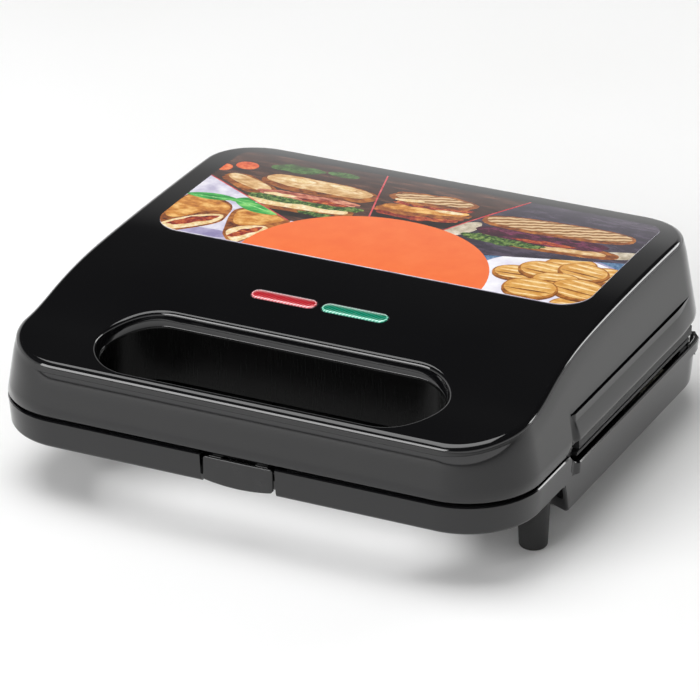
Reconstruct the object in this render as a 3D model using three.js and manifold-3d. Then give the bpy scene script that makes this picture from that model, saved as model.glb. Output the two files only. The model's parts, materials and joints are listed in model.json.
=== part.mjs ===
// Countertop donut maker: a hinged electric press with two removable ring-cavity plates.
// Millimetres, +Z up, front towards -Y. The origin is on the table, midway between the sides and
// midway between the front and the back, under the four feet.
import * as THREE from "three";
import { mergeVertices } from "three/addons/utils/BufferGeometryUtils.js";
import Module from "manifold-3d";

const wasm = await Module();
wasm.setup();

// ---- driving dimensions -------------------------------------------------------------------
const WIDTH = 250; // housings, side to side at the parting gap
const DEPTH = 232; // housings, front to back
const FRONT = -DEPTH / 2;
const BACK = DEPTH / 2;
const CORNER = 34; // plan radius of the housings
const WALL = 2.5; // moulded wall
const GAP = 0.3; // between pieces that touch
const LID_DRAFT = 0.17; // lean of the lid's side walls, mm per mm of height

const UNDERSIDE = 12; // underside of the main body
const HANDLE_UNDERSIDE = 27; // underside of the shallower front part
const HANDLE_BACK = FRONT + 63.5; // where the shallow front part ends
const BASE_RIM = 40.6; // top edge of the base shell at the front
const LID_RIM = 42.2; // bottom edge of the lid shell at the front
const BASE_SIDE_RIM = 35.6; // top edge of the base shell beside the plates
const LID_SIDE_RIM = 45.2; // bottom edge of the lid shell beside the plates
const WINDOW_FRONT = FRONT + 70; // the side rims step apart behind this line
const WINDOW_BACK = FRONT + 186; // the side ribs end here
const REAR_CUT = BACK - 21; // the housings step apart at the back, for the hinge
const REAR_DECK = 24; // top of the base shell behind that line
const REAR_LID_RIM = 46.5; // bottom of the lid's rear wall
const RIB = 2; // how far the side ribs stand out
const LID_RIB_TOP = 57.5;
const BASE_RIB_BOTTOM = 29.5;

const PLATE = { width: 218, depth: 129, y: 20, corner: 9, thick: 3, skirt: 6.3 };
const PLATE_GAP = 0.4; // between the closed plates
const PARTING = 39.8; // midway between the closed plates
const RING = { radius: 19.5, tube: 9.5, spacingX: 70, spacingY: 61 }; // one donut cavity
const HOLE = { y: FRONT + 31.8, radius: 23, half: 58 }; // the hand hole through both halves
const HINGE = { y: BACK - 13, z: 42, boss: 7, bore: 2.6, pin: 2.5 };
const LATCH = { half: 16.5, slot: 17.7, top: 39, bottom: 27.4 };
const LATCH_PIVOT = { y: FRONT + 4, z: 37.5 };
const LATCH_PIN = 1;
const GLAND = { z: 16.6, radius: 4.6, bore: 2.4 };
const PLATE_FRONT = PLATE.y - PLATE.depth / 2;
const CLIP = { half: 13, back: -54.4 };
// The feet, as x, y and the height of the underside that each hangs from.
const FEET = [
  [-112, -61, HANDLE_UNDERSIDE], [112, -61, HANDLE_UNDERSIDE], [-100, 88, UNDERSIDE],
  [100, 88, UNDERSIDE],
];
const SCREWS = [[-116.4, -36], [116.4, -36], [-116.4, 70], [116.4, 70]];
const LABEL = { half: 104.8, front: 2.6, back: 97.7, frontRadius: 14, backRadius: 8 };
const LENS = { half: 15.5, radius: 3.2, x: 17, y: FRONT + 79, top: 80.4, bottom: 75.6 };

// ---- helpers ------------------------------------------------------------------------------
// A three.js geometry as a solid that can be joined and cut.
function solid(geometry) {
  const plain = geometry.index ? geometry.toNonIndexed() : geometry.clone();
  plain.deleteAttribute("normal");
  plain.deleteAttribute("uv");
  const merged = mergeVertices(plain, 1e-4);
  return new wasm.Manifold(
    new wasm.Mesh({
      numProp: 3,
      vertProperties: merged.attributes.position.array,
      triVerts: new Uint32Array(merged.index.array),
    }),
  );
}

// A finished solid as a named mesh with its material.
function piece(name, shape, material) {
  const made = shape.getMesh();
  const geometry = new THREE.BufferGeometry();
  geometry.setAttribute("position", new THREE.BufferAttribute(made.vertProperties, 3));
  geometry.setIndex(new THREE.BufferAttribute(made.triVerts, 1));
  geometry.computeVertexNormals();
  const mesh = new THREE.Mesh(geometry, material);
  mesh.name = name;
  return mesh;
}

// A box from its lowest corner to its highest corner.
function block(low, high) {
  const size = high.map((v, k) => v - low[k]);
  const geometry = new THREE.BoxGeometry(...size);
  geometry.translate(...high.map((v, k) => (v + low[k]) / 2));
  return solid(geometry);
}

// A closed rounded rectangle, centred at x = 0 and y.
function roundedRectangle(width, depth, radius, y = 0) {
  const shape = new THREE.Shape();
  const x = width / 2 - radius;
  const front = y - depth / 2 + radius;
  const back = y + depth / 2 - radius;
  shape.absarc(x, front, radius, -Math.PI / 2, 0);
  shape.absarc(x, back, radius, 0, Math.PI / 2);
  shape.absarc(-x, back, radius, Math.PI / 2, Math.PI);
  shape.absarc(-x, front, radius, Math.PI, 1.5 * Math.PI);
  return shape;
}

// A slot with round ends, lying along x.
function roundSlot(half, radius, x = 0, y = 0) {
  const shape = new THREE.Shape();
  shape.absarc(x + half, y, radius, -Math.PI / 2, Math.PI / 2);
  shape.absarc(x - half, y, radius, Math.PI / 2, 1.5 * Math.PI);
  return shape;
}

// A plan outline raised from one height to another.
function upright(shape, low, high, curveSegments = 7) {
  const geometry = new THREE.ExtrudeGeometry(shape, {
    depth: high - low,
    bevelEnabled: false,
    curveSegments,
  });
  geometry.translate(0, 0, low);
  return solid(geometry);
}

// The same, leaning inwards by draft mm for each mm of height.
function drafted(width, depth, radius, low, high, draft) {
  const geometry = new THREE.ExtrudeGeometry(roundedRectangle(width, depth, radius), {
    depth: high - low,
    bevelEnabled: false,
    curveSegments: 7,
  });
  const at = geometry.attributes.position;
  for (let k = 0; k < at.count; k++) {
    const lean = 2 * draft * at.getZ(k);
    at.setX(k, at.getX(k) * (1 - lean / width));
    at.setY(k, at.getY(k) * (1 - lean / depth));
  }
  geometry.translate(0, 0, low);
  return solid(geometry);
}

// An outline in y and z, run along x between two values.
const ALONG_X = new THREE.Matrix4().makeBasis(
  new THREE.Vector3(0, 1, 0),
  new THREE.Vector3(0, 0, 1),
  new THREE.Vector3(1, 0, 0),
);
function alongX(points, low, high) {
  const shape = new THREE.Shape(points.map(([y, z]) => new THREE.Vector2(y, z)));
  const geometry = new THREE.ExtrudeGeometry(shape, { depth: high - low, bevelEnabled: false });
  geometry.translate(0, 0, low);
  return solid(geometry.applyMatrix4(ALONG_X));
}

// An outline in x and z, run along y between two values.
function alongY(points, low, high) {
  const shape = new THREE.Shape(points.map(([x, z]) => new THREE.Vector2(x, z)));
  const geometry = new THREE.ExtrudeGeometry(shape, { depth: high - low, bevelEnabled: false });
  geometry.rotateX(Math.PI / 2);
  geometry.translate(0, high, 0);
  return solid(geometry);
}

// A rod along x, y or z, given the middle of its axis.
function rod(axis, radius, length, centre, segments = 16) {
  const geometry = new THREE.CylinderGeometry(radius, radius, length, segments);
  if (axis === "x") geometry.rotateZ(Math.PI / 2);
  if (axis === "z") geometry.rotateX(Math.PI / 2);
  geometry.translate(...centre);
  return solid(geometry);
}

// A turned piece about a vertical axis at x, y, from [radius, z] points that start and end on it.
function turned(points, x, y, segments = 16) {
  const profile = points.map(([r, z]) => new THREE.Vector2(r, z));
  const geometry = new THREE.LatheGeometry(profile, segments);
  geometry.rotateX(Math.PI / 2);
  geometry.translate(x, y, 0);
  return solid(geometry);
}

// A round section of so many sides swept along points.
function swept(points, radius, steps, sides = 8) {
  const section = new THREE.Shape();
  for (let k = 0; k < sides; k++) {
    const angle = (2 * Math.PI * k) / sides;
    const corner = [radius * Math.cos(angle), radius * Math.sin(angle)];
    if (k === 0) section.moveTo(...corner);
    else section.lineTo(...corner);
  }
  const path = new THREE.CatmullRomCurve3(points.map((p) => new THREE.Vector3(...p)));
  return solid(
    new THREE.ExtrudeGeometry(section, { steps, bevelEnabled: false, extrudePath: path }),
  );
}

const mirrored = (make) => [-1, 1].map(make);
const joined = (first, ...rest) => rest.reduce((whole, next) => whole.add(next), first);
const cut = (first, ...rest) => rest.reduce((whole, next) => whole.subtract(next), first);

// ---- materials ----------------------------------------------------------------------------
const finish = (color, roughness, metalness = 0) =>
  new THREE.MeshStandardMaterial({ color, roughness, metalness });
const glossBlack = finish(0x141414, 0.12);
const mattBlack = finish(0x1b1b1b, 0.55);
const nonstick = finish(0x232323, 0.42);
const steel = finish(0xb9bbbd, 0.3, 1);
const aluminised = finish(0xc3c5c6, 0.4, 1);
const heaterSheath = finish(0x7a7672, 0.45, 1);
const ceramic = finish(0xe6e0d2, 0.7);
const rubber = finish(0x121212, 0.85);
const redLens = finish(0xc8323a, 0.15);
const greenLens = finish(0x0f9c7a, 0.15);
const lampGlass = finish(0xe8e0d0, 0.1);
const printedFilm = finish(0xe87838, 0.3);
const siliconeLead = finish(0xd8d4c8, 0.6);

// ---- the lid's outer form -----------------------------------------------------------------
// Side view of the lid's top, front to back: a low grip, a soft step, and a nearly flat top.
const LID_TOP = [
  [0, 62.8], [1.2, 64.6], [4, 65.9], [12, 67.4], [24, 69], [36, 70.2], [44, 71.6], [52, 74],
  [60, 76.3], [68, 78.2], [78, 79.9], [92, 81.1], [112, 82], [140, 82.7], [180, 82.6],
  [210, 81.6], [222, 80.4], [228, 78.2], [231, 74.8], [232, 70.5],
];
function lidForm(inset) {
  const top = LID_TOP.map(([y, z]) => [
    THREE.MathUtils.clamp(FRONT + y, FRONT + inset, BACK - inset),
    z - inset,
  ]);
  const sideView = alongX([...top, [BACK - inset, 0], [FRONT + inset, 0]], -WIDTH, WIDTH);
  const plan = drafted(
    WIDTH - 2 * inset, DEPTH - 2 * inset, CORNER - inset, LID_RIM - 1, 90, LID_DRAFT,
  );
  return sideView.intersect(plan);
}

const holeCut = (grow, low, high) =>
  upright(roundSlot(HOLE.half, HOLE.radius + grow, 0, HOLE.y), low, high, 8);

// The ribs that stand out along both sides, beside the plates.
const sideRibs = (points) =>
  mirrored((s) =>
    alongY(
      (s > 0 ? points : [...points].reverse()).map(([x, z]) => [s * x, z]),
      WINDOW_FRONT, WINDOW_BACK,
    ),
  );

function makeLidShell() {
  const halfWidth = WIDTH / 2;
  const ribs = sideRibs([
    [halfWidth - 4, LID_SIDE_RIM], [halfWidth + RIB, LID_SIDE_RIM],
    [halfWidth + RIB, LID_RIB_TOP - 6], [halfWidth - 2.4, LID_RIB_TOP], [halfWidth - 4, LID_RIB_TOP],
  ]);
  const lenses = mirrored((s) =>
    upright(roundSlot(LENS.half - LENS.radius, LENS.radius + GAP, s * LENS.x, LENS.y), 70, 90, 6),
  );
  const shell = cut(
    joined(lidForm(0), ...ribs),
    lidForm(WALL).subtract(holeCut(WALL, 0, 90)),
    holeCut(0, 0, 90),
    block([-WIDTH, FRONT - 1, 0], [WIDTH, BACK + 1, LID_RIM]),
    block([-WIDTH, WINDOW_FRONT, 0], [WIDTH, BACK + 1, LID_SIDE_RIM]),
    block([-WIDTH, REAR_CUT + 6, 0], [WIDTH, BACK + 1, REAR_LID_RIM]),
    ...lenses,
  ).add(
    // The ledge inside the front wall, which the latch's nose holds.
    block([-13, FRONT + WALL - 0.5, 43.2], [13, FRONT + WALL + 0.6, 44.5]),
  );
  const inside = lidForm(WALL - 0.5);
  const bosses = SCREWS.map(([x, y]) =>
    rod("z", 3.6, 40, [x, y, LID_SIDE_RIM + GAP + 20], 10).intersect(inside),
  );
  const pilots = SCREWS.map(([x, y]) => rod("z", 1.9, 16, [x, y, LID_SIDE_RIM + 7], 8));
  const lampRibs = mirrored((s) =>
    block([s * 37 - 1.2, LENS.y - 7, 62], [s * 37 + 1.2, LENS.y + 7, 90]).intersect(inside),
  );
  return cut(joined(shell, ...bosses, ...lampRibs), ...pilots);
}

function makeBaseShell() {
  const halfWidth = WIDTH / 2;
  const plan = (inset, low, high) =>
    upright(
      roundedRectangle(WIDTH - 2 * inset, DEPTH - 2 * inset, CORNER - inset), low, high,
    );
  // A small chamfer round the underside, and the raised underside of the front part.
  const lean = 3;
  const outer = joined(
    plan(0, UNDERSIDE + lean, BASE_RIM),
    plan(1.4, UNDERSIDE + 1, UNDERSIDE + lean),
    plan(lean, UNDERSIDE, UNDERSIDE + 1),
  );
  const ribs = sideRibs([
    [halfWidth - 4, BASE_RIB_BOTTOM], [halfWidth + 1.6, BASE_RIB_BOTTOM],
    [halfWidth + RIB, BASE_RIB_BOTTOM + 0.6], [halfWidth + RIB, BASE_SIDE_RIM],
    [halfWidth - 4, BASE_SIDE_RIM],
  ]);
  const glandHousing = block([-12, BACK - 28, 9.6], [12, BACK - 1, UNDERSIDE + 1]);
  const cheeks = mirrored((s) =>
    block([s * 19.2 - 1.5, FRONT + 1, 28], [s * 19.2 + 1.5, FRONT + 6.5, BASE_RIM]),
  );
  const screwPads = SCREWS.map(([x, y]) => rod("z", 5, 5, [x, y, UNDERSIDE + 2.5], 12));
  const cavity = plan(WALL, UNDERSIDE + WALL, 60).subtract(
    block([-WIDTH, FRONT - 1, 0], [WIDTH, HANDLE_BACK + WALL, HANDLE_UNDERSIDE + WALL]),
  );
  const rearDeck = plan(0.5, REAR_DECK - WALL, REAR_DECK).intersect(
    block([-WIDTH, REAR_CUT - 1, 0], [WIDTH, BACK, 60]),
  );
  return cut(
    cut(
      joined(outer, ...ribs, glandHousing),
      cavity.subtract(holeCut(WALL, 0, 90)),
      block([-WIDTH, FRONT - 1, 0], [WIDTH, HANDLE_BACK, HANDLE_UNDERSIDE]),
    ).add(joined(rearDeck, ...cheeks, ...screwPads)),
    holeCut(0, 0, 90),
    block([-WIDTH, WINDOW_FRONT, BASE_SIDE_RIM], [WIDTH, BACK + 1, 90]),
    block([-WIDTH, REAR_CUT, REAR_DECK], [WIDTH, BACK + 1, 90]),
    block([-LATCH.slot, FRONT - 1, 0], [LATCH.slot, FRONT + 5.8, 90]),
    rod("x", LATCH_PIN + GAP, 41, [0, LATCH_PIVOT.y, LATCH_PIVOT.z], 10),
    block([-9.5, BACK - 25.5, 11.7], [9.5, BACK - 3.5, 21]),
    rod("y", GLAND.radius + GAP, 10, [0, BACK, GLAND.z]),
    ...FEET.map(([x, y, top]) => rod("z", 2.2, 8, [x, y, top + 1])),
    ...SCREWS.map(([x, y]) => rod("z", 1.9, 20, [x, y, UNDERSIDE + 2], 8)),
    ...SCREWS.map(([x, y]) => rod("z", 3.5, 4.4, [x, y, UNDERSIDE], 12)),
  );
}

// ---- plates, trays and heaters ------------------------------------------------------------
const RING_CENTRES = [-1, 0, 1].flatMap((i) =>
  [-0.5, 0.5].map((j) => [i * RING.spacingX, PLATE.y + j * RING.spacingY]),
);

// The lower plate; the upper one is the same casting turned over.
function makePlate(face, up) {
  const z = (depth) => face - up * depth;
  const span = (near, far) => [Math.min(z(near), z(far)), Math.max(z(near), z(far))];
  const outline = (inset) =>
    roundedRectangle(
      PLATE.width - 2 * inset, PLATE.depth - 2 * inset, PLATE.corner - inset, PLATE.y,
    );
  const rim = upright(outline(0), ...span(0, PLATE.skirt), 4);
  const hollow = upright(outline(3), ...span(PLATE.thick, PLATE.skirt + 1), 4);
  const tab = block(
    [-9, PLATE.y - PLATE.depth / 2 - 2, span(4, 6)[0]],
    [9, PLATE.y - PLATE.depth / 2 + 1, span(4, 6)[1]],
  );
  const inner = RING.radius - RING.tube - 1.8;
  const outer = RING.radius + RING.tube + 1.8;
  const bulges = RING_CENTRES.map(([x, y]) => {
    const from = z(1);
    const to = z(RING.tube + 2);
    const profile = [
      [inner, from], [outer, from], [outer - 1, z(6)], [RING.radius + 5, to],
      [RING.radius - 5, to], [inner, z(6)], [inner, from],
    ];
    return turned(up > 0 ? profile.reverse() : profile, x, y, 12);
  });
  const grooves = RING_CENTRES.map(([x, y]) => {
    const arc = [];
    for (let k = 0; k <= 6; k++) {
      const angle = (Math.PI * k) / 6;
      arc.push([RING.radius - RING.tube * Math.cos(angle), z(RING.tube * Math.sin(angle))]);
    }
    const lift = z(-2);
    const profile = [
      [RING.radius - RING.tube, lift], ...arc, [RING.radius + RING.tube, lift],
      [RING.radius - RING.tube, lift],
    ];
    return turned(up > 0 ? profile : profile.reverse(), x, y, 16);
  });
  return cut(joined(rim.subtract(hollow), ...bulges, tab), ...grooves);
}

function makeTray(floor, lip, elementZ) {
  const thick = 1;
  const [low, high] = [Math.min(floor, lip), Math.max(floor, lip)];
  const inward = floor < lip ? [floor + thick, lip + 1] : [lip - 1, floor - thick];
  return cut(
    upright(roundedRectangle(208, 119, 8, PLATE.y), low, high, 4),
    upright(roundedRectangle(208 - 2 * thick, 119 - 2 * thick, 7, PLATE.y), ...inward, 4),
    ...mirrored((s) => rod("x", 3.1, 14, [104, PLATE.y + s * 14, elementZ], 12)),
  );
}

// A tubular heater: one loop below all the cavities, with both ends leaving at the right.
function makeElement(z) {
  const half = { x: 84, y: 44 };
  const route = [
    [110, -14], [96, -14], [88, -20], [half.x, -half.y + 6], [half.x - 10, -half.y],
    [0, -half.y], [-half.x + 10, -half.y], [-half.x, -half.y + 10], [-half.x, 0],
    [-half.x, half.y - 10], [-half.x + 10, half.y], [0, half.y], [half.x - 10, half.y],
    [half.x, half.y - 6], [88, 20], [96, 14], [110, 14],
  ];
  return swept(route.map(([x, y]) => [x, PLATE.y + y, z]), 2.6, 48, 6);
}

// ---- inner frames -------------------------------------------------------------------------
const plateOpening = (low, high) =>
  upright(roundedRectangle(PLATE.width + 3, PLATE.depth + 3, PLATE.corner + 1, PLATE.y), low, high, 4);
const ledgeOpening = (low, high) =>
  upright(roundedRectangle(PLATE.width - 7, PLATE.depth - 7, PLATE.corner - 2, PLATE.y), low, high, 4);

const hingeBore = () => rod("x", HINGE.bore, 400, [0, HINGE.y, HINGE.z], 14);
const hingeBoss = (low, high, radius = HINGE.boss) =>
  rod("x", radius, high - low, [(low + high) / 2, HINGE.y, HINGE.z], 18);

function makeBaseFrame() {
  const top = 38.8;
  const face = upright(
    roundedRectangle(WIDTH - 6.4, DEPTH - 6.4, CORNER - 3.2), top - 1.6, top,
  ).intersect(block([-WIDTH, FRONT, 0], [WIDTH, REAR_CUT - GAP, 90]));
  const flange = block([-WIDTH / 2 + 0.6, WINDOW_FRONT + 1.5, top - 1.4],
    [WIDTH / 2 - 0.6, REAR_CUT - 14, top]).subtract(
    block([-110, -200, 0], [110, 200, 90]),
  );
  const skirt = plateOpening(0, 90);
  const well = upright(
    roundedRectangle(PLATE.width + 7, PLATE.depth + 7, PLATE.corner + 3, PLATE.y), 31, top, 4,
  );
  const rearWall = block([-112, REAR_CUT - 3, REAR_DECK + GAP], [112, REAR_CUT - GAP, top]);
  const ears = mirrored((s) => {
    const [low, high] = s > 0 ? [78, 88] : [-88, -78];
    return hingeBoss(low, high).add(
      alongX([[REAR_CUT - 3, 28], [REAR_CUT + 2.5, 30], [HINGE.y - 1, HINGE.z - 6.8],
        [HINGE.y - 6, HINGE.z - 1], [REAR_CUT - 3, 38.6]], low, high),
    );
  });
  const bossFoot = UNDERSIDE + 5.3;
  const bosses = SCREWS.map(([x, y]) =>
    rod("z", 4, top - bossFoot, [x, y, (top + bossFoot) / 2], 12),
  );
  return cut(
    joined(face, flange, well, rearWall, ...ears, ...bosses),
    skirt.intersect(block([-200, -200, 33], [200, 200, 90])),
    ledgeOpening(0, 90),
    holeCut(WALL + GAP, 0, 90),
    hingeBore(),
    block([-21, FRONT, 0], [21, FRONT + 6.2, 90]),
    block([-CLIP.half - 0.5, -60, top - 3.2], [CLIP.half + 0.5, PLATE_FRONT + 1, 90]),
    block([-9.5, PLATE_FRONT - 2.5, 33], [9.5, PLATE_FRONT + 1, 90]),
    ...SCREWS.map(([x, y]) => rod("z", 1.9, 20, [x, y, UNDERSIDE + 7], 8)),
  );
}

function makeLidFrame() {
  const face = 40.9;
  const plate = upright(
    roundedRectangle(WIDTH - 6.6, DEPTH - 6.6, CORNER - 3.3), face, face + 2.2,
  ).intersect(block([-WIDTH, FRONT, 0], [WIDTH, REAR_CUT - GAP, 90]));
  const flange = block([-WIDTH / 2 - 0.4, WINDOW_FRONT + 1.5, face],
    [WIDTH / 2 + 0.4, REAR_CUT - 14, LID_SIDE_RIM - GAP]).subtract(
    block([-112, -200, 0], [112, 200, 90]),
  );
  const well = upright(
    roundedRectangle(PLATE.width + 7, PLATE.depth + 7, PLATE.corner + 3, PLATE.y), face, 49, 4,
  );
  const rearWall = block([-88, REAR_CUT - 3, face + 1], [88, REAR_CUT - GAP, 52.5]);
  const rearDeck = block([-88, REAR_CUT - 3, 50.3], [88, BACK - WALL - 2.5, 52.5]);
  const arms = mirrored((s) => {
    const [low, high] = s > 0 ? [66, 77.4] : [-77.4, -66];
    return hingeBoss(low, high).add(
      alongX([[REAR_CUT - 2, 44], [HINGE.y - 6, HINGE.z + 1], [HINGE.y + 6, HINGE.z + 2],
        [HINGE.y + 6, 51.5], [REAR_CUT - 2, 51.5]], low, high),
    );
  });
  return cut(
    joined(plate, flange, well, rearWall, rearDeck, ...arms),
    plateOpening(0, 46.6),
    ledgeOpening(0, 90),
    holeCut(WALL + GAP, 0, 90),
    hingeBore(),
    block([-21, FRONT, 0], [21, FRONT + 6.2, 90]),
    block([-CLIP.half - 0.5, -60, 0], [CLIP.half + 0.5, PLATE_FRONT + 1, face + 3.2]),
    block([-9.5, PLATE_FRONT - 2.5, 0], [9.5, PLATE_FRONT + 1, 46.6]),
    ...SCREWS.map(([x, y]) => rod("z", 1.9, 20, [x, y, face + 5], 8)),
    ...SCREWS.map(([x, y]) => rod("z", 3.5, 4, [x, y, face + 0.1], 12)),
  );
}

// ---- latch, clips and springs -------------------------------------------------------------
function makeLatch() {
  const { y, z } = LATCH_PIVOT;
  const plate = alongX(
    [[FRONT + 0.3, LATCH.bottom + 4], [FRONT, LATCH.bottom + 1.2], [FRONT + 0.3, LATCH.bottom],
      [FRONT + 1.6, LATCH.bottom], [FRONT + 1.6, LATCH.top], [FRONT + 0.8, LATCH.top],
      [FRONT + 0.3, LATCH.top - 0.6]],
    -LATCH.half, LATCH.half,
  );
  const hook = alongX(
    [[y - 0.5, z + 2.3], [y + 0.7, z + 2.3], [y + 0.7, z + 8.5], [y - 0.2, z + 8.5],
      [y - 0.6, z + 7.6], [y - 0.5, z + 7]],
    -13, 13,
  );
  const lugs = mirrored((s) =>
    block([s * 11 - 3, FRONT + 1.4, z - 1.6], [s * 11 + 3, y + 0.6, z + 2.6]).add(
      rod("x", 2.1, 6, [s * 11, y, z], 14),
    ),
  );
  return cut(joined(plate, hook, ...lugs), rod("x", LATCH_PIN + GAP, 60, [0, y, z], 12));
}

// A plate clip: a slider whose nose laps the plate's front tab.
function makeClip(face, up) {
  const z = (depth) => face - up * depth;
  const span = (near, far) => [Math.min(z(near), z(far)), Math.max(z(near), z(far))];
  const bar = (x, y0, y1, near, far) =>
    block([-x, y0, span(near, far)[0]], [x, y1, span(near, far)[1]]);
  const tabFront = PLATE_FRONT - 2;
  return joined(
    bar(CLIP.half, CLIP.back, tabFront - GAP, 0.4, 2.8),
    bar(8, tabFront - 1, tabFront + 1.6, 0.4, 2.8),
    bar(CLIP.half, CLIP.back, CLIP.back + 1.4, -0.9, 1),
    bar(3, CLIP.back + 4.1, CLIP.back + 5.2, 1, 8.4),
  );
}

// A coil spring along y.
function makeCoil(x, y0, y1, z, radius, wire, turns) {
  const points = [];
  const steps = turns * 7;
  for (let k = 0; k <= steps; k++) {
    const angle = (2 * Math.PI * k) / 7;
    points.push([
      x + radius * Math.cos(angle), y0 + wire + ((y1 - y0 - 2 * wire) * k) / steps,
      z + radius * Math.sin(angle),
    ]);
  }
  return swept(points, wire, steps, 4);
}

// A torsion spring round the latch's pin.
function makeTorsionSpring() {
  const points = [];
  const steps = 28;
  for (let k = 0; k <= steps; k++) {
    const angle = (2 * Math.PI * k) / 7;
    points.push([
      -6 + (12 * k) / steps, LATCH_PIVOT.y + 1.7 * Math.cos(angle),
      LATCH_PIVOT.z + 1.7 * Math.sin(angle),
    ]);
  }
  return swept(points, 0.28, steps, 4);
}

// ---- small parts --------------------------------------------------------------------------
const makeFoot = ([x, y, top]) =>
  turned(
    [[0, 0], [4.6, 0], [6, 1.4], [7.4, top - GAP], [1.9, top - GAP], [1.9, top + 4], [0, top + 4]],
    x, y, 12,
  );

const makeScrew = ([x, y], head) =>
  turned(
    [[0, head], [2.6, head], [3.2, head + 0.5], [3.2, head + 1.6], [1.6, head + 1.6],
      [1.6, head + 13], [0, head + 13]],
    x, y, 8,
  ).subtract(block([x - 4, y - 0.4, head - 1], [x + 4, y + 0.4, head + 0.8]));

const makeLens = (s) =>
  joined(
    upright(roundSlot(LENS.half - LENS.radius, LENS.radius, s * LENS.x, LENS.y), LENS.bottom, LENS.top, 6),
    upright(
      roundSlot(LENS.half - LENS.radius, LENS.radius + 1.2, s * LENS.x, LENS.y), LENS.bottom - 1,
      LENS.bottom + 0.4, 6,
    ),
  );

const makeLamp = (s) => rod("x", 2.4, 16, [s * LENS.x, LENS.y, 70.6], 10);

function makeLampHolder() {
  const body = block([-34, LENS.y - 7, 62], [34, LENS.y + 7, 67.6]);
  const troughs = mirrored((s) =>
    block([s * LENS.x - 9, LENS.y - 3.2, 66], [s * LENS.x + 9, LENS.y + 3.2, 74]),
  );
  const cheeks = mirrored((s) =>
    block([s * LENS.x - 11, LENS.y - 5, 67], [s * LENS.x + 11, LENS.y + 5, 73.6]),
  );
  return cut(joined(body, ...cheeks), ...troughs);
}

function makeThermostat(x, y, low, high, up) {
  const [a, b] = up > 0 ? [low, high] : [high, low];
  const s = up > 0 ? 1 : -1;
  const profile = [[0, a], [3, a], [3, b - s * 6], [8, b - s * 6], [8, b], [0, b]];
  return turned(up > 0 ? profile : profile.reverse(), x, y, 16);
}

const makeTerminalBlock = () =>
  cut(
    block([111.2, 36, UNDERSIDE + WALL + GAP], [120.4, 62, 30.4]),
    ...[41, 49, 57].map((y) => rod("z", 2, 8, [115.8, y, 30], 8)),
  );

// The gland in the back of the base: a sleeve with a through bore for the cord.
function makeGland() {
  const { z, radius, bore } = GLAND;
  const profile = [
    [bore, 0], [radius - 0.8, 0], [radius, 0.8], [radius, 9], [bore, 9], [bore, 0],
  ].map(([r, along]) => new THREE.Vector2(r, along));
  const geometry = new THREE.LatheGeometry(profile, 18);
  geometry.rotateX(Math.PI);
  geometry.translate(0, BACK - 0.3, z);
  return solid(geometry);
}

// The printed film on the lid, which follows the top's curve.
function makeLabel() {
  const film = (lift) => alongX(
    [...LID_TOP.map(([y, z]) => [FRONT + y, z + lift]), [BACK, 60], [FRONT, 60]], -150, 150,
  );
  const shape = new THREE.Shape();
  const { half, front, back, frontRadius, backRadius } = LABEL;
  shape.absarc(half - frontRadius, front + frontRadius, frontRadius, -Math.PI / 2, 0);
  shape.absarc(half - backRadius, back - backRadius, backRadius, 0, Math.PI / 2);
  shape.absarc(backRadius - half, back - backRadius, backRadius, Math.PI / 2, Math.PI);
  shape.absarc(frontRadius - half, front + frontRadius, frontRadius, Math.PI, 1.5 * Math.PI);
  return film(0.35).subtract(film(0.05)).intersect(upright(shape, 70, 90, 6));
}

// ---- the object ---------------------------------------------------------------------------
const donutMaker = new THREE.Group();

const SPRING_SPAN = [0, HOLE.y + HOLE.radius + WALL + GAP, CLIP.back + 4.1 - GAP];
const LOWER_FACE = PARTING - PLATE_GAP / 2;
const UPPER_FACE = PARTING + PLATE_GAP / 2;
const LOWER_HEATER = 24.2;
const UPPER_HEATER = 55.4;

const CORNERS = ["front_left", "front_right", "rear_left", "rear_right"];

const base = new THREE.Group();
base.add(
  piece("base_shell", makeBaseShell(), glossBlack),
  piece("base_frame", makeBaseFrame(), mattBlack),
  piece("lower_donut_plate", makePlate(LOWER_FACE, 1), nonstick),
  piece("lower_reflector_tray", makeTray(20, 30.6, LOWER_HEATER), aluminised),
  piece("lower_heating_element", makeElement(LOWER_HEATER), heaterSheath),
  piece("thermostat", makeThermostat(35, PLATE.y, 21.4, LOWER_FACE - PLATE.thick - GAP, 1), steel),
  piece("terminal_block", makeTerminalBlock(), ceramic),
  piece(
    "base_lead",
    swept([[4, 105, 15.4], [4.4, 99, 16.4], [5, 94, 19.9], [9, 88.6, 21.9], [22, 85, 21.8],
      [56, 83, 21.6], [92, 83, 21.6], [103, 81.6, 21.8], [108, 75, 22], [109.4, 68, 23],
      [114.5, 64, 25]], 1.2, 36, 6),
    siliconeLead,
  ),
  piece("cord_gland", makeGland(), rubber),
  piece("latch_pin", rod("x", LATCH_PIN, 40, [0, LATCH_PIVOT.y, LATCH_PIVOT.z], 10), steel),
  piece("latch_spring", makeTorsionSpring(), steel),
  piece("lower_clip_spring", makeCoil(...SPRING_SPAN, 32.4, 1.9, 0.35, 6), steel),
  ...mirrored((s) =>
    piece(
      s < 0 ? "hinge_pin_left" : "hinge_pin_right",
      rod("x", HINGE.pin, 24, [s * 77, HINGE.y, HINGE.z], 14), steel,
    ),
  ),
  ...FEET.map((at, k) =>
    piece(`foot_${CORNERS[k]}`, makeFoot(at), rubber),
  ),
  ...SCREWS.map((at, k) => piece(`base_screw_${CORNERS[k]}`, makeScrew(at, UNDERSIDE + 0.2), steel)),
);

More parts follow.
